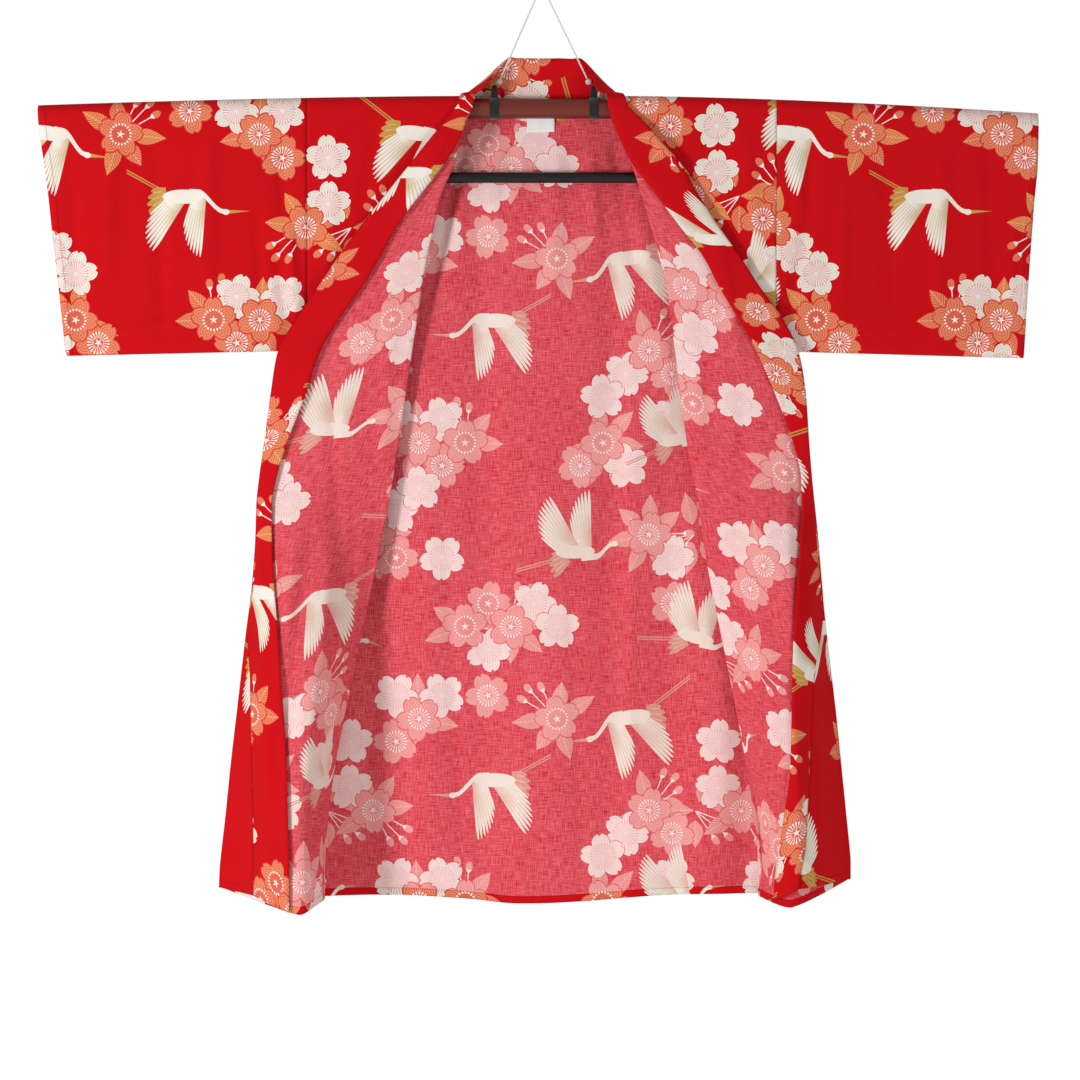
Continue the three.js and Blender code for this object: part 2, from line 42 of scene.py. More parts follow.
# Camera, light and floor: the garment hangs square on to the camera, at the height of its middle,
# in soft light from the left, with a weaker fill from the right, over a plain pale floor.
VIEW_DISTANCE = 4.0
VIEW_X = -0.0022
VIEW_Z = -0.727
VIEW_WIDTH = 1.4068
SENSOR = 36
ROOM_LIGHT = 0.42
FLOOR_Z = -1.86
FLOOR_RADIUS = 2.1

camera_data = bpy.data.cameras.new("camera")
camera_data.sensor_width = SENSOR
camera_data.lens = SENSOR * VIEW_DISTANCE / VIEW_WIDTH
camera = bpy.data.objects.new("camera", camera_data)
camera.location = (VIEW_X, -VIEW_DISTANCE, VIEW_Z)
camera.rotation_euler = (math.pi / 2, 0, 0)
bpy.context.scene.collection.objects.link(camera)
bpy.context.scene.camera = camera
bpy.context.scene.view_settings.view_transform = "Standard"


def softbox(name, place, target, size, watts):
    light = bpy.data.lights.new(name, "AREA")
    light.shape = "DISK"
    light.size = size
    light.energy = watts
    lamp = bpy.data.objects.new(name, light)
    lamp.location = place
    lamp.rotation_euler = (Vector(target) - Vector(place)).to_track_quat("-Z", "Y").to_euler()
    bpy.context.scene.collection.objects.link(lamp)


softbox("key_light", place=(-2.5, -2.3, -0.8), target=(0, 0, -0.85), size=0.7, watts=69)
softbox("fill_light", place=(2.2, -2.6, -1.4), target=(0.1, 0, -0.9), size=1.2, watts=26)
softbox("back_light", place=(0.6, 2.8, 0.6), target=(0, 0, -0.7), size=1.8, watts=40)

# The camera sees white; the room's own light is weaker and a little warm
world = bpy.data.worlds.new("studio")
bpy.context.scene.world = world
world.use_nodes = True
sky = world.node_tree
backdrop = sky.nodes["Background"]
backdrop.inputs["Color"].default_value = (1, 1, 1, 1)
room = sky.nodes.new("ShaderNodeBackground")
room.inputs["Color"].default_value = (1, 0.985, 0.97, 1)
room.inputs["Strength"].default_value = ROOM_LIGHT
seen = sky.nodes.new("ShaderNodeLightPath")
either = sky.nodes.new("ShaderNodeMixShader")
sky.links.new(seen.outputs["Is Camera Ray"], either.inputs["Fac"])
sky.links.new(room.outputs["Background"], either.inputs[1])
sky.links.new(backdrop.outputs["Background"], either.inputs[2])
sky.links.new(either.outputs["Shader"], sky.nodes["World Output"].inputs["Surface"])

bpy.ops.mesh.primitive_circle_add(vertices=96, radius=FLOOR_RADIUS, fill_type="NGON", location=(0, 0, FLOOR_Z))
floor = bpy.context.object
floor.name = "floor"
floor_paint = bpy.data.materials.new("pale_floor")
floor_paint.use_nodes = True
floor_skin = floor_paint.node_tree.nodes["Principled BSDF"]
floor_skin.inputs["Base Color"].default_value = (0.86, 0.86, 0.85, 1)
floor_skin.inputs["Roughness"].default_value = 0.9
floor.data.materials.append(floor_paint)


# Ring and strings: two thin white strings, tied in the beads of the straps, drawn tight up to one
# plain wire ring that hangs on a hook just over the picture.
ROD_Z = -0.165
ROD_RADIUS = 0.0132
STRAP_X = {"right": -0.0615, "left": 0.068}
EAR_TOP = 0.030
BEAD_RADIUS = 0.0044
BEAD_INWARD = 0.9
BEAD_HEIGHT = 0.94
STRING_RADIUS = 0.001
STRING_STEPS = 15
RING_RADIUS = 0.007
RING_WIRE = 0.0013
CLEAR = 0.0003
STRING_FOOT = Vector((0.0022, 0, -RING_RADIUS - RING_WIRE - 1.5 * CLEAR))


def feed(tree, slot, value):
    """Link a number or a socket to a node's input, or set the input to a plain value."""
    value = value.socket if isinstance(value, Number) else value
    if isinstance(value, bpy.types.NodeSocket):
        tree.links.new(value, slot)
    else:
        slot.default_value = value


class Number:
    """A shader number as a Python value: it wraps one socket and adds Math nodes as it is used."""

    def __init__(self, tree, socket):
        self.tree = tree
        self.socket = socket

    def maths(self, operation, *others, swapped=False):
        made = self.tree.nodes.new("ShaderNodeMath")
        made.operation = operation
        for slot, value in zip(made.inputs, (*others, self) if swapped else (self, *others)):
            feed(self.tree, slot, value)
        return Number(self.tree, made.outputs[0])

    __add__ = __radd__ = partialmethod(maths, "ADD")
    __sub__ = partialmethod(maths, "SUBTRACT")
    __rsub__ = partialmethod(maths, "SUBTRACT", swapped=True)
    __mul__ = __rmul__ = partialmethod(maths, "MULTIPLY")
    __truediv__ = partialmethod(maths, "DIVIDE")
    __pow__ = partialmethod(maths, "POWER")
    __rpow__ = partialmethod(maths, "POWER", swapped=True)
    __mod__ = partialmethod(maths, "FLOORED_MODULO")
    __lt__ = partialmethod(maths, "LESS_THAN")
    __gt__ = partialmethod(maths, "GREATER_THAN")
    __abs__ = partialmethod(maths, "ABSOLUTE")


def node(tree, kind, settings=None, **sockets):
    """One node: its type, its settings first, then the values or links of its sockets."""
    made = tree.nodes.new(kind)
    for name, value in (settings or {}).items():
        setattr(made, name, value)
    for name, value in sockets.items():
        feed(tree, made.inputs[name], value)
    return made


def colour(hexed):
    """A colour as it is written on a paint card, turned to the shader's own numbers."""
    parts = [int(hexed[k:k + 2], 16) / 255 for k in (0, 2, 4)]
    return tuple(p / 12.92 if p < 0.04045 else ((p + 0.055) / 1.055) ** 2.4 for p in parts) + (1.0,)


def blend(tree, factor, first, second):
    """Between two colours, each of them a link or a paint card's number."""
    mixed = node(tree, "ShaderNodeMix", {"data_type": "RGBA"})
    for slot, value in ((0, factor), (6, first), (7, second)):
        feed(tree, mixed.inputs[slot], colour(value) if isinstance(value, str) else value)
    return mixed.outputs[2]


def parts_of(tree, vector):
    return [Number(tree, part) for part in node(tree, "ShaderNodeSeparateXYZ", Vector=vector).outputs]


def place_of(tree, x, y, z=0.0):
    return node(tree, "ShaderNodeCombineXYZ", X=x, Y=y, Z=z).outputs[0]


def noise(tree, x, y, z=0.0, detail=3.0):
    found = node(tree, "ShaderNodeTexNoise", Vector=place_of(tree, x, y, z), Scale=1.0, Detail=detail, Roughness=0.6)
    return Number(tree, found.outputs["Fac"])


def surface(name, **looks):
    """A new material with its tree, its Principled node and the object's own x, y and z."""
    made = bpy.data.materials.new(name)
    made.use_nodes = True
    tree = made.node_tree
    skin = tree.nodes["Principled BSDF"]
    for look, value in looks.items():
        skin.inputs[look.replace("_", " ")].default_value = value
    return made, tree, skin, parts_of(tree, tree.nodes.new("ShaderNodeTexCoord").outputs["Object"])


def painted(tree, skin, *mixture):
    tree.links.new(blend(tree, *mixture), skin.inputs["Base Color"])


def bumped(tree, skin, height, strength, distance):
    bump = node(tree, "ShaderNodeBump", Height=height, Strength=strength, Distance=distance)
    tree.links.new(bump.outputs["Normal"], skin.inputs["Normal"])


def whole(piece, solid):
    """Every finished piece rides on the one body and stands for its solid, which is hidden."""
    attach(piece, "root")
    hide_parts(solid)


wire, tree, skin, (x, y, z) = surface("ring_wire", Roughness=0.3, Metallic=1.0)
painted(tree, skin, noise(tree, x * 900, y * 900, z * 900), "9C9C9C", "D2D2D2")
bpy.ops.mesh.primitive_torus_add(major_radius=RING_RADIUS, minor_radius=RING_WIRE, major_segments=64,
                                 minor_segments=20, rotation=(math.pi / 2, 0, 0))
ring = bpy.context.object
ring.name = "wire_ring"
bpy.ops.object.transform_apply()
bpy.ops.object.shade_smooth()
ring.data.materials.append(wire)
whole(ring, "hanging_ring")

string_cotton, tree, skin, (x, y, z) = surface("white_string", Roughness=0.8)
# Twisted plies of the string: raised in the bump, with painted shade making the grooves between them darker
twist = (z * 2600 + x * 2600).maths("SINE")
painted(tree, skin, twist * 0.5 + 0.5, "CFCBC4", "F7F5F1")
bumped(tree, skin, twist, 0.6, 0.0004)

bead_at = {}
for side, x_strap in STRAP_X.items():
    bead_at[side] = Vector((x_strap * BEAD_INWARD, 0, ROD_Z + EAR_TOP + BEAD_RADIUS + CLEAR))
    foot = Vector((math.copysign(STRING_FOOT.x, x_strap), 0, STRING_FOOT.z))
    way = (foot - bead_at[side]).normalized()
    start = bead_at[side] + way * (BEAD_RADIUS + CLEAR)
    line = bpy.data.curves.new("string_" + side, "CURVE")
    line.dimensions = "3D"
    line.bevel_depth = STRING_RADIUS
    line.bevel_resolution = 3
    line.use_fill_caps = True
    spline = line.splines.new("POLY")
    spline.points.add(STRING_STEPS)
    for k, point in enumerate(spline.points):
        point.co = (*start.lerp(foot, k / STRING_STEPS), 1)
    string = bpy.data.objects.new("hanging_string_" + side, line)
    bpy.context.scene.collection.objects.link(string)
    line.materials.append(string_cotton)
    whole(string, "string_" + side)
    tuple(start)

bead_plastic, tree, skin, (x, y, z) = surface("clear_bead", Roughness=0.12, Transmission_Weight=0.35, IOR=1.49)
painted(tree, skin, noise(tree, x * 300, y * 300, z * 300), "D8D6D4", "FBFAF8")
for side, centre in bead_at.items():
    bpy.ops.mesh.primitive_uv_sphere_add(segments=32, ring_count=20, radius=BEAD_RADIUS, location=centre)
    bead = bpy.context.object
    bead.name = "string_bead_" + side
    bpy.ops.object.mode_set(mode="EDIT")
    bpy.ops.mesh.select_all(action="SELECT")
    bpy.ops.transform.resize(value=(1.0, 1.0, BEAD_HEIGHT))
    bpy.ops.object.mode_set(mode="OBJECT")
    bpy.ops.object.transform_apply()
    bpy.ops.object.shade_smooth()
    bead.data.materials.append(bead_plastic)
    whole(bead, "bead_" + side)

# Rod: one long round stick, varnished brown and gently bowed, lowest at the wearer's left. It is
# pushed through both sleeves, and the whole garment hangs over it.
NECK_HALF = 0.100
BOW_REACH = 0.550
BOW_POWER = 1.6
ROD_BOW = {"right": 0.012, "left": 0.023}
ROD_ENDS = (-0.632, 0.624)
ROD_CUTS = 60


def bow(x):
    """How much lower the bowed rod, and the cloth on it, lies at x."""
    reach = max(0.0, abs(x) - NECK_HALF) / BOW_REACH
    return ROD_BOW["right" if x < 0 else "left"] * reach ** BOW_POWER


def round_stick(name, radius, ends, z, inset, rounding):
    """A stick along X with its two ends inset and their rims rounded."""
    bpy.ops.mesh.primitive_cylinder_add(vertices=40, radius=radius, depth=ends[1] - ends[0],
                                        location=(sum(ends) / 2, 0, z), rotation=(0, math.pi / 2, 0))
    stick = bpy.context.object
    stick.name = name
    bpy.ops.object.transform_apply()
    bpy.ops.object.mode_set(mode="EDIT")
    bpy.ops.mesh.select_all(action="SELECT")
    mesh = bmesh.from_edit_mesh(stick.data)
    for face in mesh.faces:
        face.select = len(face.verts) > 4
    bmesh.update_edit_mesh(stick.data)
    bpy.ops.mesh.inset(thickness=inset)
    bpy.ops.mesh.bevel(offset=rounding, segments=2)
    bpy.ops.object.mode_set(mode="OBJECT")
    return stick


varnish, tree, skin, (x, y, z) = surface("brown_varnish", Roughness=0.34, Coat_Weight=0.25, Coat_Roughness=0.22)
grain = noise(tree, x * 9, y * 420, z * 420, detail=4.0)
streak = noise(tree, x * 3, y * 90, z * 90, detail=2.0)
painted(tree, skin, streak * 0.45, blend(tree, grain, "4A1008", "86290F"), "661D08")
bumped(tree, skin, grain, 0.12, 0.0003)

rod = round_stick("bowed_rod", ROD_RADIUS, ROD_ENDS, ROD_Z, inset=0.0016, rounding=0.0007)
bent = bmesh.new()
bent.from_mesh(rod.data)
bmesh.ops.subdivide_edges(bent, cuts=ROD_CUTS, edges=[e for e in bent.edges if e.calc_length() > 0.5])
for vert in bent.verts:
    vert.co.z -= bow(vert.co.x)
bent.to_mesh(rod.data)
bent.free()
bpy.ops.object.shade_smooth_by_angle(angle=math.radians(40))
rod.data.materials.append(varnish)
whole(rod, "rod")

# Straps: black hook-and-loop webbing wrapped round the rod in two places, each with an ear on top
# that carries the bead of its string.
STRAP_WIDTH = 0.012
STRAP_THICK = 0.0009
STRAP_STEPS = 56
EAR_WIDTH = 0.0096
EAR_DEPTH = 0.00385
EAR_LIFT = 0.0004
EAR_NARROWER = 0.45
EAR_THINNER = 0.3

webbing, tree, skin, (x, y, z) = surface("black_webbing", Roughness=0.85, Sheen_Weight=0.3)
# Ribs and fuzz of the webbing, raised in the bump: painted shade darkens it between the ribs, and the fuzz varies
# its tone at random
ribs = (x * 4200).maths("SINE") * ((y + z) * 4200).maths("SINE")
fuzz = noise(tree, x * 900, y * 900, z * 900)
painted(tree, skin, ribs * 0.25 + fuzz * 0.5, "020202", "121113")
bumped(tree, skin, ribs + fuzz, 0.5, 0.0003)


def arc(radius, z, start, sweep, count):
    """An outline's points on an arc round the X axis: y and z, then the way outward."""
    turns = [start + sweep * k / count for k in range(count + 1)]
    return [(radius * math.sin(t), z + radius * math.cos(t), math.sin(t), math.cos(t)) for t in turns]


def band_round(x, width, thick, outline):
    """A flat band bent along an outline in Y and Z, as wide as the webbing, closed on itself."""
    points = [(x + edge * width, y + out_y * lift, z + out_z * lift)
              for lift in (0.0, thick) for y, z, out_y, out_z in outline for edge in (-0.5, 0.5)]
    count = len(outline)
    faces = []
    for k in range(count):
        a, b = 2 * k, 2 * ((k + 1) % count)
        c, d = a + 2 * count, b + 2 * count
        faces += [(a, a + 1, b + 1, b), (c, d, d + 1, c + 1), (a, b, d, c), (a + 1, c + 1, d + 1, b + 1)]
    mesh = bpy.data.meshes.new("band")
    mesh.from_pydata(points, [], faces)
    piece = bpy.data.objects.new("band", mesh)
    bpy.context.scene.collection.objects.link(piece)
    soft = piece.modifiers.new("soft_edges", "BEVEL")
    soft.width = thick * 0.3
    soft.segments = 2
    return piece


def finished(name, solid, *pieces):
    """The pieces, with their modifiers worked in, as one whole webbing piece of the hanger."""
    for piece in pieces:
        bpy.context.view_layer.objects.active = piece
        piece.select_set(True)
        for modifier in list(piece.modifiers):
            bpy.ops.object.modifier_apply(modifier=modifier.name)
    bpy.context.view_layer.objects.active = pieces[0]
    bpy.ops.object.join()
    one = bpy.context.object
    one.name = name
    bpy.ops.object.mode_set(mode="EDIT")
    bpy.ops.mesh.select_all(action="SELECT")
    bpy.ops.mesh.normals_make_consistent(inside=False)
    bpy.ops.object.mode_set(mode="OBJECT")
    bpy.ops.object.shade_smooth_by_angle(angle=math.radians(35))
    bpy.ops.object.select_all(action="DESELECT")
    one.data.materials.append(webbing)
    whole(one, solid)


for side, x_strap in STRAP_X.items():
    inner = ROD_RADIUS + CLEAR
    wrap = band_round(x_strap, STRAP_WIDTH, STRAP_THICK, arc(inner, ROD_Z, 0, 2 * math.pi, STRAP_STEPS)[:-1])
    bpy.ops.mesh.primitive_cube_add(size=1, location=(x_strap, 0, ROD_Z + (inner + EAR_TOP) / 2 + EAR_LIFT))
    ear = bpy.context.object
    ear.scale = (EAR_WIDTH, EAR_DEPTH, EAR_TOP - inner)
    bpy.ops.object.transform_apply()
    bpy.ops.object.mode_set(mode="EDIT")
    bpy.ops.mesh.select_all(action="SELECT")
    bpy.ops.mesh.subdivide(number_cuts=4)
    bpy.ops.object.mode_set(mode="OBJECT")
    for vert in ear.data.vertices:
        rise = (vert.co.z - ROD_Z - inner) / (EAR_TOP - inner)
        vert.co.x = x_strap + (vert.co.x - x_strap) * (1 - EAR_NARROWER * rise * rise)
        vert.co.y *= 1 - EAR_THINNER * rise
    rounded = ear.modifiers.new("soft", "SUBSURF")
    rounded.levels = rounded.render_levels = 1
    finished("rod_strap_" + side, "strap_" + side, wrap, ear)

# Spreader bar: a straight black bar that holds the body flat. It hangs under the rod in two flat
# loops of webbing, which the fronts hide.
BAR_Z = -0.255
BAR_RADIUS = 0.007
BAR_HALF = 0.200
LOOP_X = {"right": -0.150, "left": 0.150}
LOOP_WIDTH = 0.010
LOOP_THICK = 0.0011
LOOP_STEPS = 24

bar_black, tree, skin, (x, y, z) = surface("black_bar")
scuff = noise(tree, x * 30, y * 300, z * 300, detail=4.0)
painted(tree, skin, scuff, "020202", "080709")
feed(tree, skin.inputs["Roughness"], scuff * 0.25 + 0.25)
bumped(tree, skin, scuff, 0.1, 0.0003)
bar = round_stick("black_spreader_bar", BAR_RADIUS, (-BAR_HALF, BAR_HALF), BAR_Z, inset=0.0012, rounding=0.0006)
bpy.ops.object.shade_smooth_by_angle(angle=math.radians(40))
bar.data.materials.append(bar_black)
whole(bar, "spreader_bar")
bpy.ops.object.select_all(action="DESELECT")

for side, x_loop in LOOP_X.items():
    rod_z = ROD_Z - bow(x_loop)
    top, low = ROD_RADIUS + CLEAR, BAR_RADIUS + CLEAR
    lean = math.asin((top - low) / (rod_z - BAR_Z))
    outline = arc(top, rod_z, -math.pi / 2 - lean, math.pi + 2 * lean, LOOP_STEPS)
    outline += arc(low, BAR_Z, math.pi / 2 + lean, math.pi - 2 * lean, LOOP_STEPS)
    finished("bar_webbing_loop_" + side, "bar_loop_" + side, band_round(x_loop, LOOP_WIDTH, LOOP_THICK, outline))

# Printed cotton: plain weave, bright red with cherry blossoms, leaves, buds and flying cranes.
# The right side is printed, the reverse shows the same print paler, with its threads heathered.
CELL = 0.060
CELLS_WIDE = 8
CELLS_HIGH = 10
REPEAT_WIDE = CELL * CELLS_WIDE
REPEAT_HIGH = CELL * CELLS_HIGH
SPRAY_SIZE = 0.49
BLOSSOM_SIZE = 0.497
CHART_WORD = 256
PETALS = 5
PETAL_MIDDLE = 0.60
PETAL_RADIUS = 0.40
NOTCH_AT = 0.885
HEART = 0.34
MARKS = 20
STAMENS = 26
LEAVES = 7
LEAF_FOOT = 0.22
LEAF_HALF = 0.175
BUDS = 21
BUD_RADIUS = 0.078
CUP_DEEP = 0.08
TRUNK_SLIM = 0.34
TRUNK_RADIUS = 0.116
HEAD_RADIUS = 0.047
LEG_LONG = 0.72
LINE_STRENGTH = 0.72
STAMEN_STRENGTH = 0.8
FAR_OFF = 9.0
HEM_WIDE = 0.0098
STITCHES_AT = 0.0088
STITCHES_A_METRE = 380
THREAD = 0.00055


def fraction(value):
    return value.maths("FRACT")


def low_of(a, b):
    return a.maths("MINIMUM", b)


def high_of(a, b):
    return a.maths("MAXIMUM", b)


def limited(value):
    return low_of(high_of(value, 0.0), 1.0)


def eased(value, low, high):
    t = limited((value - low) / (high - low))
    return t * t * (3 - t * 2)


def root(value):
    return value.maths("SQRT")


def from_point(x, y, px, py):
    return root((x - px) * (x - px) + (y - py) * (y - py))


# The print's own tree, shared by the right side and the reverse
MASKS = ("Coral", "White", "Line", "Dot", "Tan", "Feather", "Gold", "Stamen")
print_tree = bpy.data.node_groups.new("blossom_and_crane_print", "ShaderNodeTree")
print_tree.interface.new_socket("Place", in_out="INPUT", socket_type="NodeSocketVector")
for mask in MASKS:
    print_tree.interface.new_socket(mask, in_out="OUTPUT", socket_type="NodeSocketFloat")
tree = print_tree
entry = tree.nodes.new("NodeGroupInput")
leave = tree.nodes.new("NodeGroupOutput")
across, upward, _ = parts_of(tree, entry.outputs["Place"])
downward = REPEAT_HIGH - upward

# Where the blossoms stand in one repeat, top row first: C coral, W white. Two grids, the second
# half a cell up and to the left of the first; leaves and buds spread from under some of them.
BLOSSOMS = [
    "...CWW..",
    ".....CW.",
    "......W.",
    "W......C",
    "....WW.W",
    "WC..C...",
    ".....WC.",
    "....WC.W",
    "..WC...C",
    "...W....",
]
BLOSSOMS_BETWEEN = [
    "........",
    "..C..C..",
    "........",
    "C.....C.",
    ".W......",
    ".C..CC..",
    ".....W..",
    "C.....C.",
    "........",
    "..WCC...",
]
SPRAYS = [
    "..L.",
    "...L",
    "L.L.",
    "...L",
    ".L..",
]
SPRAYS_BETWEEN = [
    ".L..",
    "L..L",
    "..L.",
    "L..L",
    "..L.",
]


def charted(chart, letter, column, row):
    """1 in the cells that the chart marks with the letter, 0 in the others."""
    marks = [sum(2 ** i for i, mark in enumerate(line) if mark == letter) for line in chart]
    ramp = tree.nodes.new("ShaderNodeValToRGB")
    ramp.color_ramp.interpolation = "CONSTANT"
    stops = ramp.color_ramp.elements
    while len(stops) < len(marks):
        stops.new(len(stops) / len(marks))
    for k, (stop, bits) in enumerate(zip(stops, marks)):
        stop.position = k / len(marks)
        stop.color = (*[bits / CHART_WORD] * 3, 1)
    feed(tree, ramp.inputs["Fac"], (row + 0.5) / len(marks))
    split = node(tree, "ShaderNodeSeparateColor", Color=ramp.outputs["Color"])
    word = (Number(tree, split.outputs["Red"]) * CHART_WORD + 0.5).maths("FLOOR")
    return (word / 2.0 ** column + 0.001).maths("FLOOR") % 2.0 > 0.5


def chance_at(x, y):
    return node(tree, "ShaderNodeTexWhiteNoise", {"noise_dimensions": "2D"}, Vector=place_of(tree, x, y))


def motif_places(cell, shift_x, shift_y, seed):
    """Place from each cell's own middle: returns x, y, a chance and the cell's column and row."""
    u = across / cell + shift_x
    v = downward / cell + shift_y
    column = u.maths("FLOOR")
    row = v.maths("FLOOR")
    in_column = column % float(round(REPEAT_WIDE / cell))
    in_row = row % float(round(REPEAT_HIGH / cell))
    parts = node(tree, "ShaderNodeSeparateColor", Color=chance_at(in_column + seed, in_row).outputs["Color"])
    return u - column - 0.5, row + 0.5 - v, Number(tree, parts.outputs["Blue"]), in_column, in_row


def polar(x, y, turn, count):
    """Distance, and the place within one of count equal sectors, along it and off its middle line."""
    far = root(x * x + y * y)
    angle = y.maths("ARCTAN2", x) / (2 * math.pi) + turn
    part = fraction(angle * count) - 0.5
    bent = part * (2 * math.pi / count)
    return far, angle, part, far * bent.maths("COSINE"), abs(far * bent.maths("SINE"))


def blossom(x, y, chance, size):
    """Five notched petals. Returns body, body with a narrow margin, petal lines, marks and stamens."""
    far, angle, part, along, off = polar(x / size, y / size, chance, PETALS)
    rim = root((along - PETAL_MIDDLE) * (along - PETAL_MIDDLE) + off * off * 1.06) - PETAL_RADIUS
    outer = high_of(rim, along - NOTCH_AT - off * 1.25)
    shape = low_of(outer, far - HEART)
    contour = (fraction(outer * 9.5) < 0.3) * (far > 0.5)
    joint = ((0.5 - abs(part)) * far < 0.012) * (far > HEART)
    wave = (angle * (2 * math.pi * MARKS)).maths("COSINE")
    ring = (abs(far - 0.44) < 0.045) * (wave > -0.1)
    star = far * (1 + abs(part) * 4.4) < 0.2
    rays = (abs(far - 0.31) < 0.11) * (wave > 0.5) * (chance > 0.5)
    stamens = (fraction(angle * STAMENS) < 0.34) * (far < 0.58) * (far > 0.08)
    return shape < 0.0, shape < 0.03, high_of(contour, joint), high_of(high_of(ring, star), rays), stamens


coral = white = lines = marks = tan = gold = feather = stamen = across * 0.0

# Leaves and bunches of buds spread out from under the coral blossoms
for chart, shift, seed in ((SPRAYS, 0.0, 31.0), (SPRAYS_BETWEEN, 0.5, 77.0)):
    x, y, chance, column, row = motif_places(CELL * 2, shift, 0.0, seed)
    there = charted(chart, "L", column, row)
    far, angle, part, along, off = polar(x / SPRAY_SIZE, y / SPRAY_SIZE, chance, LEAVES)
    sector = (angle * LEAVES).maths("FLOOR") % float(LEAVES)
    kind = Number(tree, chance_at(sector + seed, chance * 40).outputs["Value"])
    bunch = sector < 0.5
    reach = 0.82 + kind * 0.24
    way = limited((along - LEAF_FOOT) / (reach - LEAF_FOOT))
    leaf = (off < (way ** 0.8 * math.pi).maths("SINE") * LEAF_HALF) * (kind < 0.82)
    leaf = leaf * (way > 0.0) * (way < 1.0) * (1 - bunch)
    ribs = high_of(off < 0.010, fraction((along - off * 1.3) * 12) < 0.26) * leaf
    stem_part = fraction(angle * BUDS) - 0.5
    stem_side = abs(far * (stem_part * (2 * math.pi / BUDS)).maths("SINE"))
    tall = 0.80 + ((angle * BUDS).maths("FLOOR") * 2.4).maths("SINE") * 0.09
    stalk = (stem_side < 0.011) * (far < tall) * bunch
    cup = (stem_side < (far - tall + CUP_DEEP) * 0.65) * (far > tall - CUP_DEEP) * (far < tall + 0.02) * bunch
    bud = (from_point(far * 0.72, stem_side, (tall + 0.09) * 0.72, 0.0) < BUD_RADIUS) * bunch
    body = high_of(leaf, bud) * there
    bare = 1 - body
    coral = high_of(coral, body)
    lines = high_of(lines * bare, high_of(ribs, (fraction(far * 24) < 0.3) * bud) * there)
    marks = high_of(marks * bare, high_of(stalk, cup) * there)
    tan = high_of(tan * bare, leaf * there * (kind > 0.3))

# The blossoms, each over what lies under it
for chart, shift, seed in ((BLOSSOMS, 0.0, 3.0), (BLOSSOMS_BETWEEN, 0.5, 57.0)):
    x, y, chance, column, row = motif_places(CELL, shift, shift, seed)
    coral_here = charted(chart, "C", column, row)
    white_here = charted(chart, "W", column, row)
    body, wide, petal_lines, petal_marks, stamens = blossom(x, y, chance, BLOSSOM_SIZE)
    here = high_of(coral_here, white_here)
    body = body * here
    bare = 1 - wide * here
    coral = high_of(coral * bare, body * coral_here)
    white = high_of(white * bare, body * white_here)
    lines = high_of(lines * bare, petal_lines * body)
    marks = high_of(marks * bare, petal_marks * coral_here * body)
    stamen = high_of(stamen * bare, stamens * white_here * body)
    tan = tan * bare

# Cranes in flight: A with its wings swept down, B with its wings raised. A wing is where it leaves
# the body, its direction, its spread (both in degrees), the length of its bare root, the length of
# its longest feather and its number of feathers; the longest one is at its leading edge. A flight
# is a place in cells, a size in metres and a tilt.
CRANE_A = {
    "wings": [(0.27, 0.06, 258, 15, 0.85, 0.98, 8.0), (-0.06, 0.06, 229, 17, 0.85, 0.98, 8.0)],
    "tail": (-0.24, 0.08, 203, 46, 0.34, 0.44, 5.0), "legs": (-0.36, 0.16, -0.55),
    "neck": (0.12, -0.30, 0.25, 0.66), "head": (0.70, -0.19), "beak": (0.04, 1.10), "leading": 1,
    "flights": [((3.35, 2.42), 0.079, 0.0), ((0.40, 1.05), 0.080, -0.16)],
}
CRANE_B = {
    "wings": [(0.17, 0.06, 96, 16, 0.85, 1.08, 8.0), (-0.06, 0.05, 127, 22, 0.85, 1.04, 10.0)],
    "tail": (-0.14, 0.0, 206, 40, 0.34, 0.42, 5.0), "legs": (-0.34, -0.06, 0.22),
    "neck": (-0.04, 0.20, 0.36, 0.66), "head": (0.70, 0.17), "beak": (-0.10, 1.04), "leading": -1,
    "flights": [((1.60, 7.45), 0.074, 0.05), ((7.00, 9.30), 0.070, -0.25), ((7.40, 5.00), 0.066, 0.2)],
}


def fan(x, y, base_x, base_y, way, spread, bare_root, length, feathers, leading=1):
    """A spread wing of long feathers. Returns its body, its quills and its gilded shoulder."""
    turn = math.radians(way)
    dx = x - (base_x - bare_root * math.cos(turn))
    dy = y - (base_y - bare_root * math.sin(turn))
    far = root(dx * dx + dy * dy)
    share = ((dy.maths("ARCTAN2", dx) / (2 * math.pi)) % 1.0 - (way - spread / 2) / 360) / (spread / 360)
    tip = abs(fraction(share * feathers) - 0.5)
    back = 1 - share if leading > 0 else share
    edge = bare_root + length * (1 - back * back * 0.5) * (1 - tip * tip)
    body = (share > 0.0) * (share < 1.0) * (far > bare_root + 0.02) * (far < edge)
    quills = (tip > 0.39) * (far > bare_root + length * 0.22) * body
    shoulder = limited((bare_root + length * 0.62 - far) / (length * 0.3)) * limited(0.9 - back * 1.5) * body
    return body, quills, shoulder


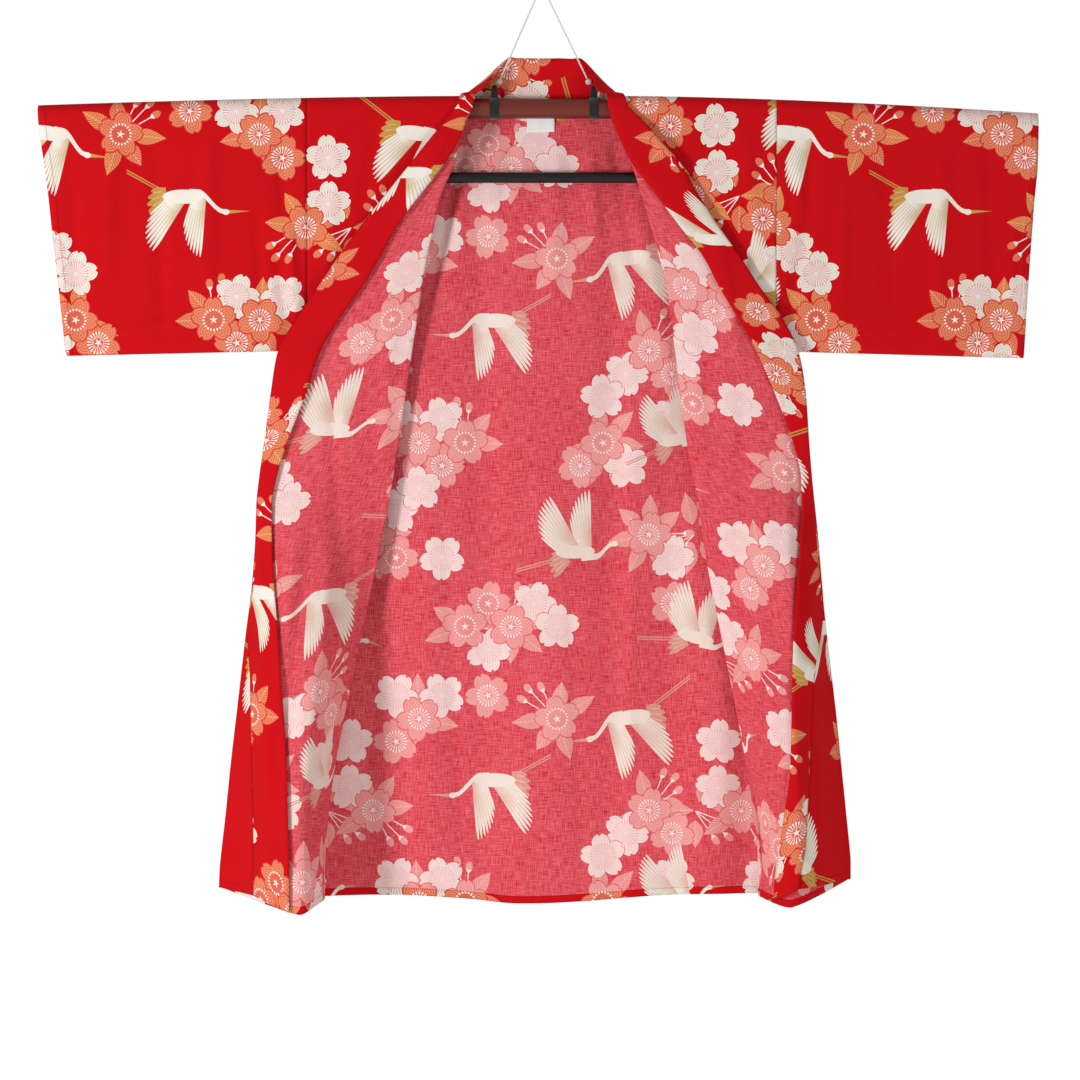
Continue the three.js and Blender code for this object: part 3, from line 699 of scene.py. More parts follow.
# Each kind's own x and y near one of its birds, then the bird from trunk to legs
for parts, facing in ((CRANE_A, 1), (CRANE_B, -1)):
    x = y = across * 0.0 + FAR_OFF
    for (at_x, at_y), size, tilt in parts["flights"]:
        dx = (fraction((across / CELL - at_x) / CELLS_WIDE + 0.5) - 0.5) * (REPEAT_WIDE / size * facing)
        dy = (fraction((downward / CELL - at_y) / CELLS_HIGH + 0.5) - 0.5) * (-REPEAT_HIGH / size)
        turned_x = dx * math.cos(tilt) + dy * math.sin(tilt)
        turned_y = dy * math.cos(tilt) - dx * math.sin(tilt)
        here = (abs(dx) < 1.3) * (abs(dy) < 1.3)
        x = x + (turned_x - x) * here
        y = y + (turned_y - y) * here
    trunk = from_point(x * TRUNK_SLIM, y, 0.0, 0.06) < TRUNK_RADIUS
    lift, drop, start, end = parts["neck"]
    neck = abs(y - lift - eased(x, start, end) * drop) < 0.072 - limited(x) * 0.055
    head_x, head_y = parts["head"]
    head = from_point(x * 0.8, y, head_x * 0.8, head_y) < HEAD_RADIUS
    lean, tip_x = parts["beak"]
    beak = abs(y - head_y - (x - head_x) * lean) < (tip_x - x) * 0.085
    bird = high_of(trunk, high_of(neck * (x > 0.1) * (x < head_x), head))
    quills = shoulders = x * 0.0
    for wing in parts["wings"]:
        body, feather_lines, shoulder = fan(x, y, *wing, leading=parts["leading"])
        bare = 1 - body
        quills = high_of(quills * bare, feather_lines)
        shoulders = high_of(shoulders * bare, shoulder * 0.75)
        bird = high_of(bird, body)
    tail, tail_lines, _ = fan(x, y, *parts["tail"])
    leg_x, leg_y, slope = parts["legs"]
    leg = y - leg_y - (x - leg_x) * slope
    legs = (abs(abs(leg) - 0.022) < 0.011) * (x < leg_x) * (x > leg_x - LEG_LONG)
    gilt = high_of(high_of(beak * (x > head_x) * (x < tip_x), legs), tail) * (1 - bird)
    bare = 1 - high_of(bird, gilt)
    feather = high_of(feather * bare, bird)
    gold = high_of(gold * bare, high_of(gilt, shoulders * (1 - trunk)))
    lines = high_of(lines * bare, high_of(quills * (1 - trunk), tail_lines * gilt))
    coral, white, marks, tan, stamen = (mask * bare for mask in (coral, white, marks, tan, stamen))

for mask, value in zip(MASKS, (coral, white, lines, marks, tan, feather, gold, stamen)):
    feed(tree, leave.inputs[mask], value)

# Colours of the print on each side: two tones for a ground or a motif, one for a fine line
RIGHT_SIDE = {
    "ground": ("BE0410", "CE0A14"), "coral": ("D25440", "E07056"), "tan": ("CF6238", "DE8450"),
    "line": "EFB47E", "white": ("E4D8CC", "F4EAE4"), "pale_line": "C9B594", "pink": "DC7E8C", "mark": "F7E9E4",
    "gold": ("B08438", "CDA458"), "feather": ("E2D8C8", "F5F0E8"), "quill": "B99A66",
}
REVERSE = {
    "ground": ("C61026", "EC5E6C"), "coral": ("E48082", "F09E9A"), "tan": ("E07C7C", "EA9890"),
    "line": "F4BCB4", "white": ("F0D0CC", "F8E8E4"), "pale_line": "EBC4BC", "pink": "EAA6AC", "mark": "F8E4E0",
    "gold": ("D08A78", "DDA08C"), "feather": ("E6D6C8", "F4EADF"), "quill": "D2B49C",
}


def dyed(tree, masks, shades, tones, mottle):
    """The print in one set of colours: ground, then leaves, blossoms, birds, fine lines and marks."""
    def shade(key, factor=mottle):
        return blend(tree, factor, *shades[key])

    tone = shade("ground", tones)
    for mask in ("Coral", "Tan", "White", "Feather", "Gold"):
        tone = blend(tree, masks[mask], tone, shade(mask.lower()))
    line_tone = blend(tree, masks["White"], shades["line"], shades["pale_line"])
    line_tone = blend(tree, masks["Feather"], line_tone, shades["quill"])
    tone = blend(tree, masks["Line"] * LINE_STRENGTH, tone, line_tone)
    tone = blend(tree, masks["Stamen"] * STAMEN_STRENGTH, tone, shades["pink"])
    return blend(tree, masks["Dot"], tone, shades["mark"])


def cotton(name, printed):
    """The cotton's right side, or its paler reverse. UV is the cloth's own metres, edge its hems."""
    made, tree, skin, _ = surface(name, Roughness=0.85, Specular_IOR_Level=0.12)
    cloth_uv = node(tree, "ShaderNodeUVMap", {"uv_map": "cloth"}).outputs[0]
    u, v, _ = parts_of(tree, cloth_uv)
    to_hem, to_seam, _ = parts_of(tree, node(tree, "ShaderNodeUVMap", {"uv_map": "edge"}).outputs[0])
    motifs = node(tree, "ShaderNodeGroup", {"node_tree": print_tree}, Place=cloth_uv)
    masks = {mask: Number(tree, motifs.outputs[mask]) for mask in MASKS}
    mottle = noise(tree, u * 14, v * 14, detail=1.0)
    warp = noise(tree, u * 760, v * 62, detail=1.0)
    weft = noise(tree, u * 62, v * 760, 5.0, detail=1.0)
    speck = noise(tree, u * 1100, v * 1100, 3.0, detail=0.0)
    threads = (warp + weft) * 0.5
    tone = dyed(tree, masks, RIGHT_SIDE, mottle * 0.5 + threads * 0.5, mottle)
    if not printed:
        heather = limited((threads * 0.72 + speck * 0.28 - 0.5) * 3.4 + 0.46 + (mottle - 0.5) * 0.2)
        pale = dyed(tree, masks, REVERSE, heather, mottle)
        pale = blend(tree, heather * 0.10, pale, "FBE3DF")
        pale = blend(tree, (1 - heather) * 0.12, pale, "B81832")
        tone = blend(tree, to_hem < HEM_WIDE, pale, tone)
    stitch_line = (abs(to_hem - STITCHES_AT) < 0.0003) * (fraction((u + v) * STITCHES_A_METRE) < 0.72)
    tone = blend(tree, stitch_line * 0.35, tone, "8E0410")
    seam_shade = limited(1 - to_seam / 0.001)
    painted(tree, skin, seam_shade * 0.1, tone, "7A040C")
    # The cloth's relief, in metres: its weave and threads, soft puckers, the hem's step and the seam
    weave = (u * (2 * math.pi / THREAD)).maths("SINE") * (v * (2 * math.pi / THREAD)).maths("SINE")
    pucker = noise(tree, u * 60, v * 60, detail=1.0)
    near_hem = limited(1 - abs(to_hem - 0.009) / 0.005)
    fold_step = limited((HEM_WIDE - to_hem) / 0.0008)
    puckers = noise(tree, u * 160, v * 160, detail=0.0) * near_hem
    height = weave * 0.00004 + (warp + weft) * 0.00012 + pucker * 0.0006 + puckers * 0.0009
    height = height + fold_step * 0.0006 - seam_shade * 0.0004 - stitch_line * 0.0003
    bumped(tree, skin, height, 0.8, 1.0)
    feed(tree, skin.inputs["Roughness"], 0.82 + threads * 0.12)
    return made


right_side = cotton("printed_cotton", True)
reverse_side = cotton("cotton_reverse", False)

# Back panel: one wide piece of cotton hung over the rod by its shoulder seams, scooped at the neck.
# Its outer face is printed; here its paler reverse shows inside the open garment. Sizes in mm.
CLOTH = 1.2
SHELL = 0.7
HALF_SHOULDER = 305
NECK_WIDE = 100
ROD_AXIS = -165
HANG_RADIUS = 16
FLAT_DEPTH = 6.2
CLOSING = 170
SAG_FADE = 130
ROD_FADE = 40
ROD_GAP = 12
SEAM_GAP = 0.3
SEAM_FLAT = 4
SEAM_EASE = 26
ARMHOLE_FOOT = -450
ARMHOLE_EASE = 40
NECK_SCOOP = -184
NECK_EASE = 3.5
NECK_TUCK = 4.5
NECK_SETTLE = -240
NECK_EDGE = -230
CREASE_DEPTH = 1.7
CREASE_OVERRUN = 0.2
CREASE_FADE = 0.45
CREASE_REACH = 3.2
HEM_TURN = 120
BOTTOM = {"right": -1191, "left": -1187}
HEM_Z = BOTTOM["right"]
CLOTH_ROWS = 172
BACK_COLUMNS = 104
OFF_EDGE = 60

# Soft upright folds of the panel: x, width, depth, and the heights they run between
BACK_FOLDS = [
    (-222, 26, 8, -260, HEM_Z), (-150, 20, -4, -420, HEM_Z), (-78, 22, 7, -185, -900), (10, 36, -6, -500, HEM_Z),
    (92, 22, 7, -190, -1000), (170, 28, 8, -450, HEM_Z), (236, 22, -4, -600, HEM_Z),
]
BACK_PRINT = (140, 300)
BACK_HEM = [(-289, HEM_Z), (-180, -1190), (-110, -1194), (-30, -1201), (60, -1198), (150, HEM_Z), (289, -1187)]

# Smaller creases: x and z of one end, x and z of the other, then width and depth
BACK_CREASES = [
    (-96, -196, -150, -420, 9, 4.2), (-88, -200, -118, -330, 7, -3.2), (92, -196, 128, -400, 9, 3.8),
    (60, -205, 74, -350, 8, -3.0), (-40, -200, -52, -380, 10, 3.0), (20, -210, 14, -420, 11, -2.8),
    (-235, -300, -228, -620, 8, 1.8), (-60, -520, -66, -860, 7, 1.4), (120, -560, 112, -1120, 8, -1.8),
    (-120, -760, -104, -1170, 9, 1.8), (40, -820, 52, -1180, 7, 1.5), (-20, -900, -30, -1190, 6, -1.4),
    (180, -300, 214, -540, 8, 1.7),
]


def smooth(t):
    s = min(1.0, max(0.0, t))
    return s * s * (3 - 2 * s)


def mix(a, b, t):
    return a + (b - a) * t


def steps(first, last, count):
    return [mix(first, last, k / count) for k in range(count + 1)]


def through(pairs, place):
    """Value at a place of the smooth line through a table of pairs, flat beyond its two ends."""
    pts = sorted(pairs)
    if place <= pts[0][0]:
        return pts[0][1]
    if place >= pts[-1][0]:
        return pts[-1][1]
    k = next(n for n in range(1, len(pts)) if pts[n][0] >= place)
    (a, va), (b, vb) = pts[k - 1], pts[k]
    rise = (vb - va) / (b - a)

    def lean(n):
        if n <= 0 or n >= len(pts) - 1:
            return rise
        before = (pts[n][1] - pts[n - 1][1]) / (pts[n][0] - pts[n - 1][0])
        after = (pts[n + 1][1] - pts[n][1]) / (pts[n + 1][0] - pts[n][0])
        return 0.0 if before * after <= 0 else 2 * before * after / (before + after)

    t = (place - a) / (b - a)
    h = b - a
    ma, mb = lean(k - 1) * h, lean(k) * h
    return (2 * t ** 3 - 3 * t ** 2 + 1) * va + (t ** 3 - 2 * t ** 2 + t) * ma \
        + (3 * t ** 2 - 2 * t ** 3) * vb + (t ** 3 - t ** 2) * mb


def sag(x):
    return bow(x / 1000) * 1000


def half_depth(z):
    drop = max(0.0, ROD_AXIS - z) / CLOSING
    return FLAT_DEPTH + (HANG_RADIUS - FLAT_DEPTH) * math.exp(-drop * drop)


def below_rod(z, gap):
    """0 down to a gap below the rod's axis, then rising to 1."""
    return smooth((ROD_AXIS - gap - z) / ROD_FADE)


def hung(x, z, face, out):
    """Place of a layer over the rod or below it: face is -1 for the front, 1 for the back."""
    if z > ROD_AXIS:
        turn = math.acos(min(1.0, (z - ROD_AXIS) / HANG_RADIUS))
        radius = HANG_RADIUS + out
        return (x, face * (radius * math.sin(turn) + SEAM_GAP / 2), ROD_AXIS - sag(x) + radius * math.cos(turn))
    fade = 1 - smooth((ROD_AXIS - z) / SAG_FADE)
    return (x, face * (half_depth(z) + out), z - sag(x) * fade)


def creased(creases, x, z):
    """Depth of all the soft troughs and ridges of a table at a place on the cloth."""
    depth = 0.0
    for ax, az, bx, bz, wide, deep in creases:
        dx, dz = bx - ax, bz - az
        length = math.hypot(dx, dz)
        run = ((x - ax) * dx + (z - az) * dz) / length
        off = ((x - ax) * dz - (z - az) * dx) / length
        before, beyond = run / length + CREASE_OVERRUN, 1 + CREASE_OVERRUN - run / length
        if before > 0 and beyond > 0 and abs(off) < CREASE_REACH * wide:
            fade = smooth(before / CREASE_FADE) * smooth(beyond / CREASE_FADE)
            depth += deep * fade * math.exp(-(off / wide) ** 2)
    return depth * CREASE_DEPTH


def sheet_of(name, rows, thick, materials, around=False, turned=False):
    """A thin shell from rows of places, each a point, its place in the print and its edges, in mm."""
    if turned:
        rows = [row[::-1] for row in rows]
    columns = len(rows[0])
    corners = []
    for i in range(len(rows) - 1):
        for j in range(columns if around else columns - 1):
            n = (j + 1) % columns
            corners += [(i, j), (i + 1, j), (i + 1, n), (i, n)]
    mesh = bpy.data.meshes.new(name)
    mesh.from_pydata([[part / 1000 for part in point] for row in rows for point, _, _ in row], [],
                     [[i * columns + j for i, j in corners[k:k + 4]] for k in range(0, len(corners), 4)])
    for kind, layer in enumerate(("cloth", "edge"), 1):
        made = mesh.uv_layers.new(name=layer)
        for k, (i, j) in enumerate(corners):
            made.data[k].uv = [part / 1000 for part in rows[i][j][kind]]
    for material in materials:
        mesh.materials.append(material)
    mesh.polygons.foreach_set("use_smooth", [True] * len(mesh.polygons))
    piece = bpy.data.objects.new(name, mesh)
    bpy.context.scene.collection.objects.link(piece)
    if thick:
        shell = piece.modifiers.new("cloth_thickness", "SOLIDIFY")
        shell.thickness = thick / 1000
        shell.offset = 0
        shell.use_even_offset = False
        shell.material_offset = len(materials) - 1
        shell.material_offset_rim = 0
        bpy.context.view_layer.objects.active = piece
        bpy.ops.object.modifier_apply(modifier=shell.name)
    return piece


def neck_line(x):
    """Height of the back's top edge: shoulder seams, and the scoop of the neck between them."""
    across = min(1.0, abs(x) / NECK_WIDE)
    top = ROD_AXIS + HANG_RADIUS
    return mix(NECK_SCOOP, top, across ** 1.7) if across < 1 else top


def back_fold_depth(x, z):
    """All folds and creases of the back at a place, fading out at its side seams and its rod."""
    depth = 0.0
    inside = smooth((HALF_SHOULDER - 15 - abs(x)) / 50)
    for middle, wide, deep, start, end in BACK_FOLDS:
        run = smooth((start - z) / 160) * (1 - 0.4 * smooth((end - z + 200) / 200))
        depth += deep * run * inside * math.exp(-((x - middle) / wide) ** 2)
    return depth + creased(BACK_CREASES, x, z) * smooth((HALF_SHOULDER - 20 - abs(x)) / 30) * below_rod(z, 20)


def sewn(z):
    """0 beside the open armhole, 1 along the side seam below it."""
    return smooth((ARMHOLE_FOOT - z) / ARMHOLE_EASE)


def seamed(depth, inward, z):
    """Depth of a layer that closes up with the other one at the side seam."""
    return mix(depth, mix((CLOTH + SEAM_GAP) / 2, depth, inward), sewn(z))


def back_at(x, z, side):
    near = seamed(half_depth(z), smooth((side - SEAM_FLAT - abs(x)) / SEAM_EASE), z)
    px, py, pz = hung(x, z, 1, 0)
    ease = NECK_EASE * smooth((NECK_WIDE - 4 - abs(x)) / 25) * smooth((z - NECK_EDGE) / 40)
    if z > ROD_AXIS:
        return (px, py + ease, pz)
    return (px, near + ease + back_fold_depth(x, z), pz)


SIDE_LINE = {
    "right": [(-149, 305), (-485, 305), (-540, 304), (-600, 302), (-650, 301), (-720, 300), (-780, 298),
              (-900, 295), (-1020, 293), (-1130, 290), (HEM_Z, 289)],
    "left": [(-149, 305), (-485, 305), (-540, 303), (-600, 302), (-650, 301), (-720, 299), (-780, 298),
             (-900, 296), (-1020, 293), (-1130, 291), (-1187, 289)],
}
OVER_ROD = [ROD_AXIS + HANG_RADIUS * math.cos(math.radians(t)) for t in (0, 12, 24, 36, 48, 60, 70, 80)]
rows = []
for level in OVER_ROD + steps(ROD_AXIS, HEM_Z, CLOTH_ROWS):
    row = []
    for column in steps(-1, 1, BACK_COLUMNS):
        side = through(SIDE_LINE["right" if column < 0 else "left"], level)
        x = column * side
        top = neck_line(x) + NECK_TUCK * (1 - smooth(abs(x) / NECK_WIDE))
        z = level
        if level > NECK_SETTLE:
            z = mix(NECK_SETTLE, top, (level - NECK_SETTLE) / (OVER_ROD[0] - NECK_SETTLE))
        hem = through(BACK_HEM, x)
        z += (hem - HEM_Z) * smooth((HEM_Z + HEM_TURN - level) / HEM_TURN)
        to_top = max(0.0, top - z) + (0 if z > NECK_EDGE else OFF_EDGE)
        row.append((back_at(x, z, side), (BACK_PRINT[0] - x, z + BACK_PRINT[1]),
                    (z - hem, min(side - abs(x), to_top))))
    rows.append(row)
back = sheet_of("back_panel", rows, SHELL, (right_side, reverse_side), turned=True)
whole(back, "back")

# Fronts: each is sewn to the back at shoulder and side, opens outward and lies folded back on
# itself, so its paler reverse faces forward; its outer part stands forward toward the hem.
# Heights, and at each: distances of the named lines from the middle, and how far the flap swells.
COLUMNS = ("z", "side", "fold", "outer", "seam", "free", "peak", "swell")
FRONTS = {
    "right": [
        (-149, 305, 88, 101, 97, 83, 95, 0), (-165, 305, 94, 110, 106, 89, 102, 0),
        (-185, 305, 101, 126, 121, 98, 114, 0), (-210, 305, 107, 146, 141, 107, 127, 1),
        (-240, 305, 114, 170, 165, 126, 142, 1), (-280, 305, 131, 202, 197, 157, 167, 2),
        (-320, 305, 140, 234, 229, 187, 187, 3), (-360, 305, 149, 263, 258, 209, 206, 4),
        (-400, 305, 156, 290, 285, 233, 223, 5), (-440, 305, 162, 318, 313, 262, 240, 6),
        (-485, 305, 169, 342, 337, 288, 256, 6), (-540, 304, 177, 351, 346, 306, 264, 6),
        (-600, 302, 186, 359, 354, 329, 278, 8), (-650, 301, 194, 366, 361, 344, 296, 12),
        (-680, 301, 199, 369, 364, 349, 304, 20), (-720, 300, 207, 370, 365, 348, 312, 34),
        (-780, 298, 219, 374, 369, 344, 314, 52), (-840, 297, 232, 382, 377, 338, 314, 62),
        (-900, 295, 245, 389, 376, 333, 313, 70), (-960, 294, 257, 396, 374, 328, 312, 77),
        (-1020, 293, 268, 403, 372, 324, 311, 84), (-1080, 291, 276, 409, 370, 322, 310, 90),
        (-1130, 290, 280, 414, 369, 320, 309, 95), (-1165, 289, 281, 417, 369, 320, 308, 98),
        (-1191, 289, 281, 418, 369, 320, 307, 100),
    ],
    "left": [
        (-149, 305, 88, 102, 98, 82, 95, 0), (-165, 305, 92, 112, 107, 86, 102, 0),
        (-185, 305, 98, 132, 127, 92, 116, 0), (-210, 305, 105, 153, 148, 102, 129, 1),
        (-240, 305, 117, 180, 175, 117, 148, 1), (-280, 305, 130, 203, 198, 148, 167, 2),
        (-320, 305, 142, 228, 223, 178, 185, 3), (-360, 305, 153, 257, 252, 209, 205, 4),
        (-400, 305, 163, 283, 278, 230, 223, 5), (-440, 305, 168, 312, 307, 254, 240, 6),
        (-485, 305, 174, 333, 328, 279, 254, 6), (-540, 303, 181, 342, 337, 303, 262, 6),
        (-600, 302, 189, 346, 341, 325, 272, 8), (-650, 301, 198, 350, 345, 336, 290, 12),
        (-680, 300, 204, 353, 348, 336, 300, 20), (-720, 299, 209, 357, 351, 333, 306, 34),
        (-780, 298, 219, 362, 353, 327, 312, 52), (-840, 297, 231, 368, 351, 322, 314, 62),
        (-900, 296, 243, 375, 348, 319, 315, 70), (-960, 294, 255, 382, 344, 317, 315, 77),
        (-1020, 293, 266, 388, 341, 315, 316, 84), (-1080, 292, 275, 394, 337, 307, 316, 88),
        (-1130, 291, 280, 398, 334, 300, 316, 92), (-1165, 290, 281, 400, 328, 296, 316, 95),
        (-1187, 289, 281, 400, 326, 294, 316, 97),
    ],
}
HEM = {
    "right": {"side": -1191, "peak": -1202, "outer": -1177, "seam": -1182, "free": -1199},
    "left": {"side": -1187, "peak": -1193, "outer": -1166, "seam": -1169, "free": -1186},
}
LAYER_STEP = (1.6, 5)
BAND_STEP = (2.4, 6)
STEP_FROM = -150
STEP_RUN = 80
FOLD_STEPS = 7
UNDER_STEPS = 26
FLAP_STEPS = 40
STRIP_STEPS = 10
SIGN = {"right": -1, "left": 1}
PRINT_SHIFT = {"right": (362, 741), "left": (468, 700)}

# Creases of the opened fronts and their bands, with their depth toward the camera
FRONT_CREASES = {
    "right": [
        (-118, -190, -190, -330, 8, 2.0), (-262, -190, -286, -420, 9, 1.8), (-210, -180, -232, -290, 7, -1.4),
        (-196, -420, -206, -640, 9, 1.6), (-276, -470, -262, -760, 8, -1.8), (-228, -700, -252, -980, 8, 1.6),
        (-330, -600, -300, -520, 7, 1.6), (-300, -735, -330, -1000, 11, -4.8), (-270, -735, -292, -1000, 10, 4.2),
        (-360, -760, -352, -1060, 9, 3.0), (-282, -880, -290, -1180, 9, -2.4), (-338, -960, -342, -1190, 7, -2.0),
    ],
    "left": [
        (112, -162, 190, -250, 8, 4.6), (150, -196, 222, -300, 8, -3.0), (262, -190, 290, -400, 9, 1.8),
        (226, -330, 262, -520, 8, 1.5), (196, -450, 212, -690, 9, 1.6), (262, -540, 254, -800, 8, -1.7),
        (316, -620, 318, -900, 7, 1.8), (224, -770, 262, -960, 10, 4.2), (272, -740, 312, -900, 11, -4.4),
        (268, -940, 292, -1160, 10, -4.0), (318, -930, 330, -1150, 10, 3.6), (346, -820, 356, -1150, 8, 2.2),
    ],
}


def row_at(side, z):
    """All the named sizes of one opened front at a height, or over the rod by the turn round it."""
    table = FRONTS[side]
    row = {"z": z}
    for k, name in enumerate(COLUMNS[1:], 1):
        if z > ROD_AXIS:
            t = math.acos(min(1.0, (z - ROD_AXIS) / HANG_RADIUS)) / (math.pi / 2)
            row[name] = mix(table[0][k], table[1][k], t)
        else:
            row[name] = through([(r[0], r[k]) for r in table], z)
    return row


def layer_step(step, z):
    return mix(*step, smooth((STEP_FROM - z) / STEP_RUN))


def front_section(row):
    """Two functions: depth of the layer sewn to the back, and of the flap folded open over it."""
    z, side, fold, outer = row["z"], row["side"], row["fold"], row["outer"]
    width = side - fold
    flat = min(SEAM_FLAT, width / 3)
    depth = min(half_depth(z), 1.2 + 0.6 * width)
    power = math.log(0.5) / math.log((row["peak"] - fold) / (outer - fold))

    def under(out):
        return seamed(depth, smooth((side - flat - out) / min(SEAM_EASE, width - flat)), z)

    def flap(out):
        t = min(1.0, max(0.0, (out - fold) / (outer - fold)))
        lift = math.sin(math.pi * t ** power)
        return under(fold) + layer_step(LAYER_STEP, z) + 4 * t * sewn(z) + row["swell"] * lift

    return under, flap


def front_path(row):
    """The front's cut at one height, from the side seam to the band seam: out, depth, leg."""
    under, flap = front_section(row)
    z, side, fold, outer = row["z"], row["side"], row["fold"], row["outer"]
    inner = min(layer_step(LAYER_STEP, z) / 2, (side - fold) / 2)
    flat = min(SEAM_FLAT, (side - fold) / 3)
    path = [(side, under(side), "under")]
    path += [(out, under(out), "under") for out in steps(side - flat, fold + inner, UNDER_STEPS)]
    mid = (under(fold + inner) + flap(fold + inner)) / 2
    half = flap(fold + inner) - mid
    for turn in steps(0, math.pi, FOLD_STEPS)[1:-1]:
        path.append((fold + inner - inner * math.sin(turn), mid - half * math.cos(turn), "under"))
    step = layer_step(BAND_STEP, z)
    turn_in = min(step / 2, (outer - fold) / 4)
    path += [(out, flap(out), "flap") for out in steps(fold + inner, outer - turn_in, FLAP_STEPS)]
    base = flap(outer - turn_in)
    for turn in steps(0, math.pi, FOLD_STEPS)[1:-1]:
        path.append((outer - turn_in + turn_in * math.sin(turn), base + step / 2 * (1 - math.cos(turn)), "strip"))
    seam_out = row["seam"] + SEAM_GAP / 2
    path += [(out, flap(out) + step, "strip") for out in steps(outer - turn_in, seam_out, STRIP_STEPS)]
    return path


def hem_height(row, side, out, leg):
    """Height of the front's lower edge, which rises and falls along its folded layers."""
    hem = HEM[side]
    if leg == "under":
        return hem["side"]
    if leg == "flap":
        if out < row["peak"]:
            return mix(hem["side"], hem["peak"], smooth((out - row["fold"]) / (row["peak"] - row["fold"])))
        return mix(hem["peak"], hem["outer"], (out - row["peak"]) / (row["outer"] - row["peak"]))
    if out > row["seam"]:
        return mix(hem["seam"], hem["outer"], (out - row["seam"]) / (row["outer"] - row["seam"]))
    return mix(hem["seam"], hem["free"], (row["seam"] - out) / (row["seam"] - row["free"]))


def front_at(row, side, out, depth, leg):
    """A point of the front or its band, with the hem's slant and the creases worked in."""
    sign, z, last = SIGN[side], row["z"], BOTTOM[side]
    x, _, low = hung(sign * out, z, -1, 0)
    low += (hem_height(row, side, out, leg) - last) * smooth((last + HEM_TURN - z) / HEM_TURN)
    if z > ROD_AXIS:
        return hung(sign * out, z, -1, depth - front_section(row)[0](out))
    at_side = smooth((row["side"] - 4 - out) / 24) if leg == "under" else 1.0
    soft = creased(FRONT_CREASES[side], x, z) * at_side * below_rod(z, ROD_GAP)
    return (x, -depth - soft, low)


for side, sign in SIGN.items():
    rows = []
    shift_u, shift_v = PRINT_SHIFT[side]
    for level in OVER_ROD + steps(ROD_AXIS, BOTTOM[side], CLOTH_ROWS):
        sizes = row_at(side, level)
        path = front_path(sizes)
        row, reach, last = [], 0.0, path[0]
        for place in path:
            reach += math.hypot(place[0] - last[0], place[1] - last[1])
            last = place
            point = front_at(sizes, side, *place)
            row.append((point, (shift_u - sign * reach, point[2] + shift_v), (level - BOTTOM[side], reach)))
        rows.append(row)
    piece = sheet_of("front_" + side + "_cloth", rows, SHELL, (right_side, reverse_side), turned=side == "left")
    whole(piece, "front_" + side)

# Sleeves: wide straight sleeves, each a piece folded at the shoulder and sewn along its foot, with
# the cuff hemmed; the rod runs through them and they hang flat from it.
CUFF = {
    "right": [(-149, 655), (-185, 652), (-243, 644.5), (-328, 636), (-400, 628), (-487, 619)],
    "left": [(-149, 645), (-224, 644), (-300, 639), (-390, 633), (-490, 627)],
}
FOOT = {"right": (-480, -487), "left": (-481, -490)}
SLEEVE_ROWS = 60
SLEEVE_STEPS = 54
FOOT_TURNS = [math.radians(t) for t in (20, 40, 60, 78)]
BACK_SHARE = 0.8
SLEEVE_CREASES = {
    "right": [
        (-330, -318, -313, -440, 10, 5.0), (-344, -350, -330, -450, 8, -3.4), (-340, -200, -332, -330, 9, -2.2),
        (-372, -300, -360, -460, 8, -1.8), (-430, -190, -436, -400, 12, 1.8), (-500, -230, -492, -460, 11, -1.8),
        (-560, -190, -566, -380, 12, 2.0), (-610, -260, -600, -470, 9, -1.8), (-470, -440, -560, -462, 8, 1.6),
        (-400, -450, -330, -440, 7, 1.4),
    ],
    "left": [
        (328, -230, 336, -300, 8, 2.4), (352, -190, 346, -330, 9, -2.0), (392, -280, 386, -460, 9, 1.8),
        (446, -190, 458, -420, 12, -1.8), (520, -220, 512, -450, 12, 2.0), (580, -200, 588, -400, 10, -1.8),
        (614, -300, 606, -480, 8, 1.6), (480, -452, 400, -462, 8, 1.5), (316, -440, 346, -330, 9, -3.6),
    ],
}
SLEEVE_PRINT = {"right": (666.5, 740.7), "left": (182.8, 740.7)}

for side, sign in SIGN.items():
    rows = []
    for t in steps(0, 1, SLEEVE_ROWS):
        low = mix(*FOOT[side], t)
        places = [(z, 1.0) for z in OVER_ROD + steps(ROD_AXIS, low + FLAT_DEPTH, SLEEVE_STEPS)]
        places += [(low + FLAT_DEPTH * (1 - math.sin(a)), math.cos(a)) for a in FOOT_TURNS]
        row = []
        for face, level, squeeze in [(-1, *p) for p in places] + [(1, *p) for p in places[::-1]]:
            cuff = through(CUFF[side], level)
            x = sign * mix(HALF_SHOULDER - SEAM_GAP, cuff, t)
            px, py, pz = hung(x, level, face, 0)
            soft = 0.0
            if level < ROD_AXIS:
                soft = creased(SLEEVE_CREASES[side], x, level) * smooth((abs(x) - HALF_SHOULDER - 3) / 22)
                soft *= smooth((level - low) / 30) * below_rod(level, ROD_GAP)
            row.append(((px, py * squeeze - soft * (1 if face < 0 else BACK_SHARE), pz),
                        (SLEEVE_PRINT[side][0] - face * x, pz + SLEEVE_PRINT[side][1]),
                        (abs(x - sign * cuff), min(abs(x) - HALF_SHOULDER, level - low + 1.5))))
        rows.append(row)
    piece = sheet_of("sleeve_" + side + "_cloth", rows, SHELL, (right_side, reverse_side), around=True,
                     turned=side == "left")
    whole(piece, "sleeve_" + side)

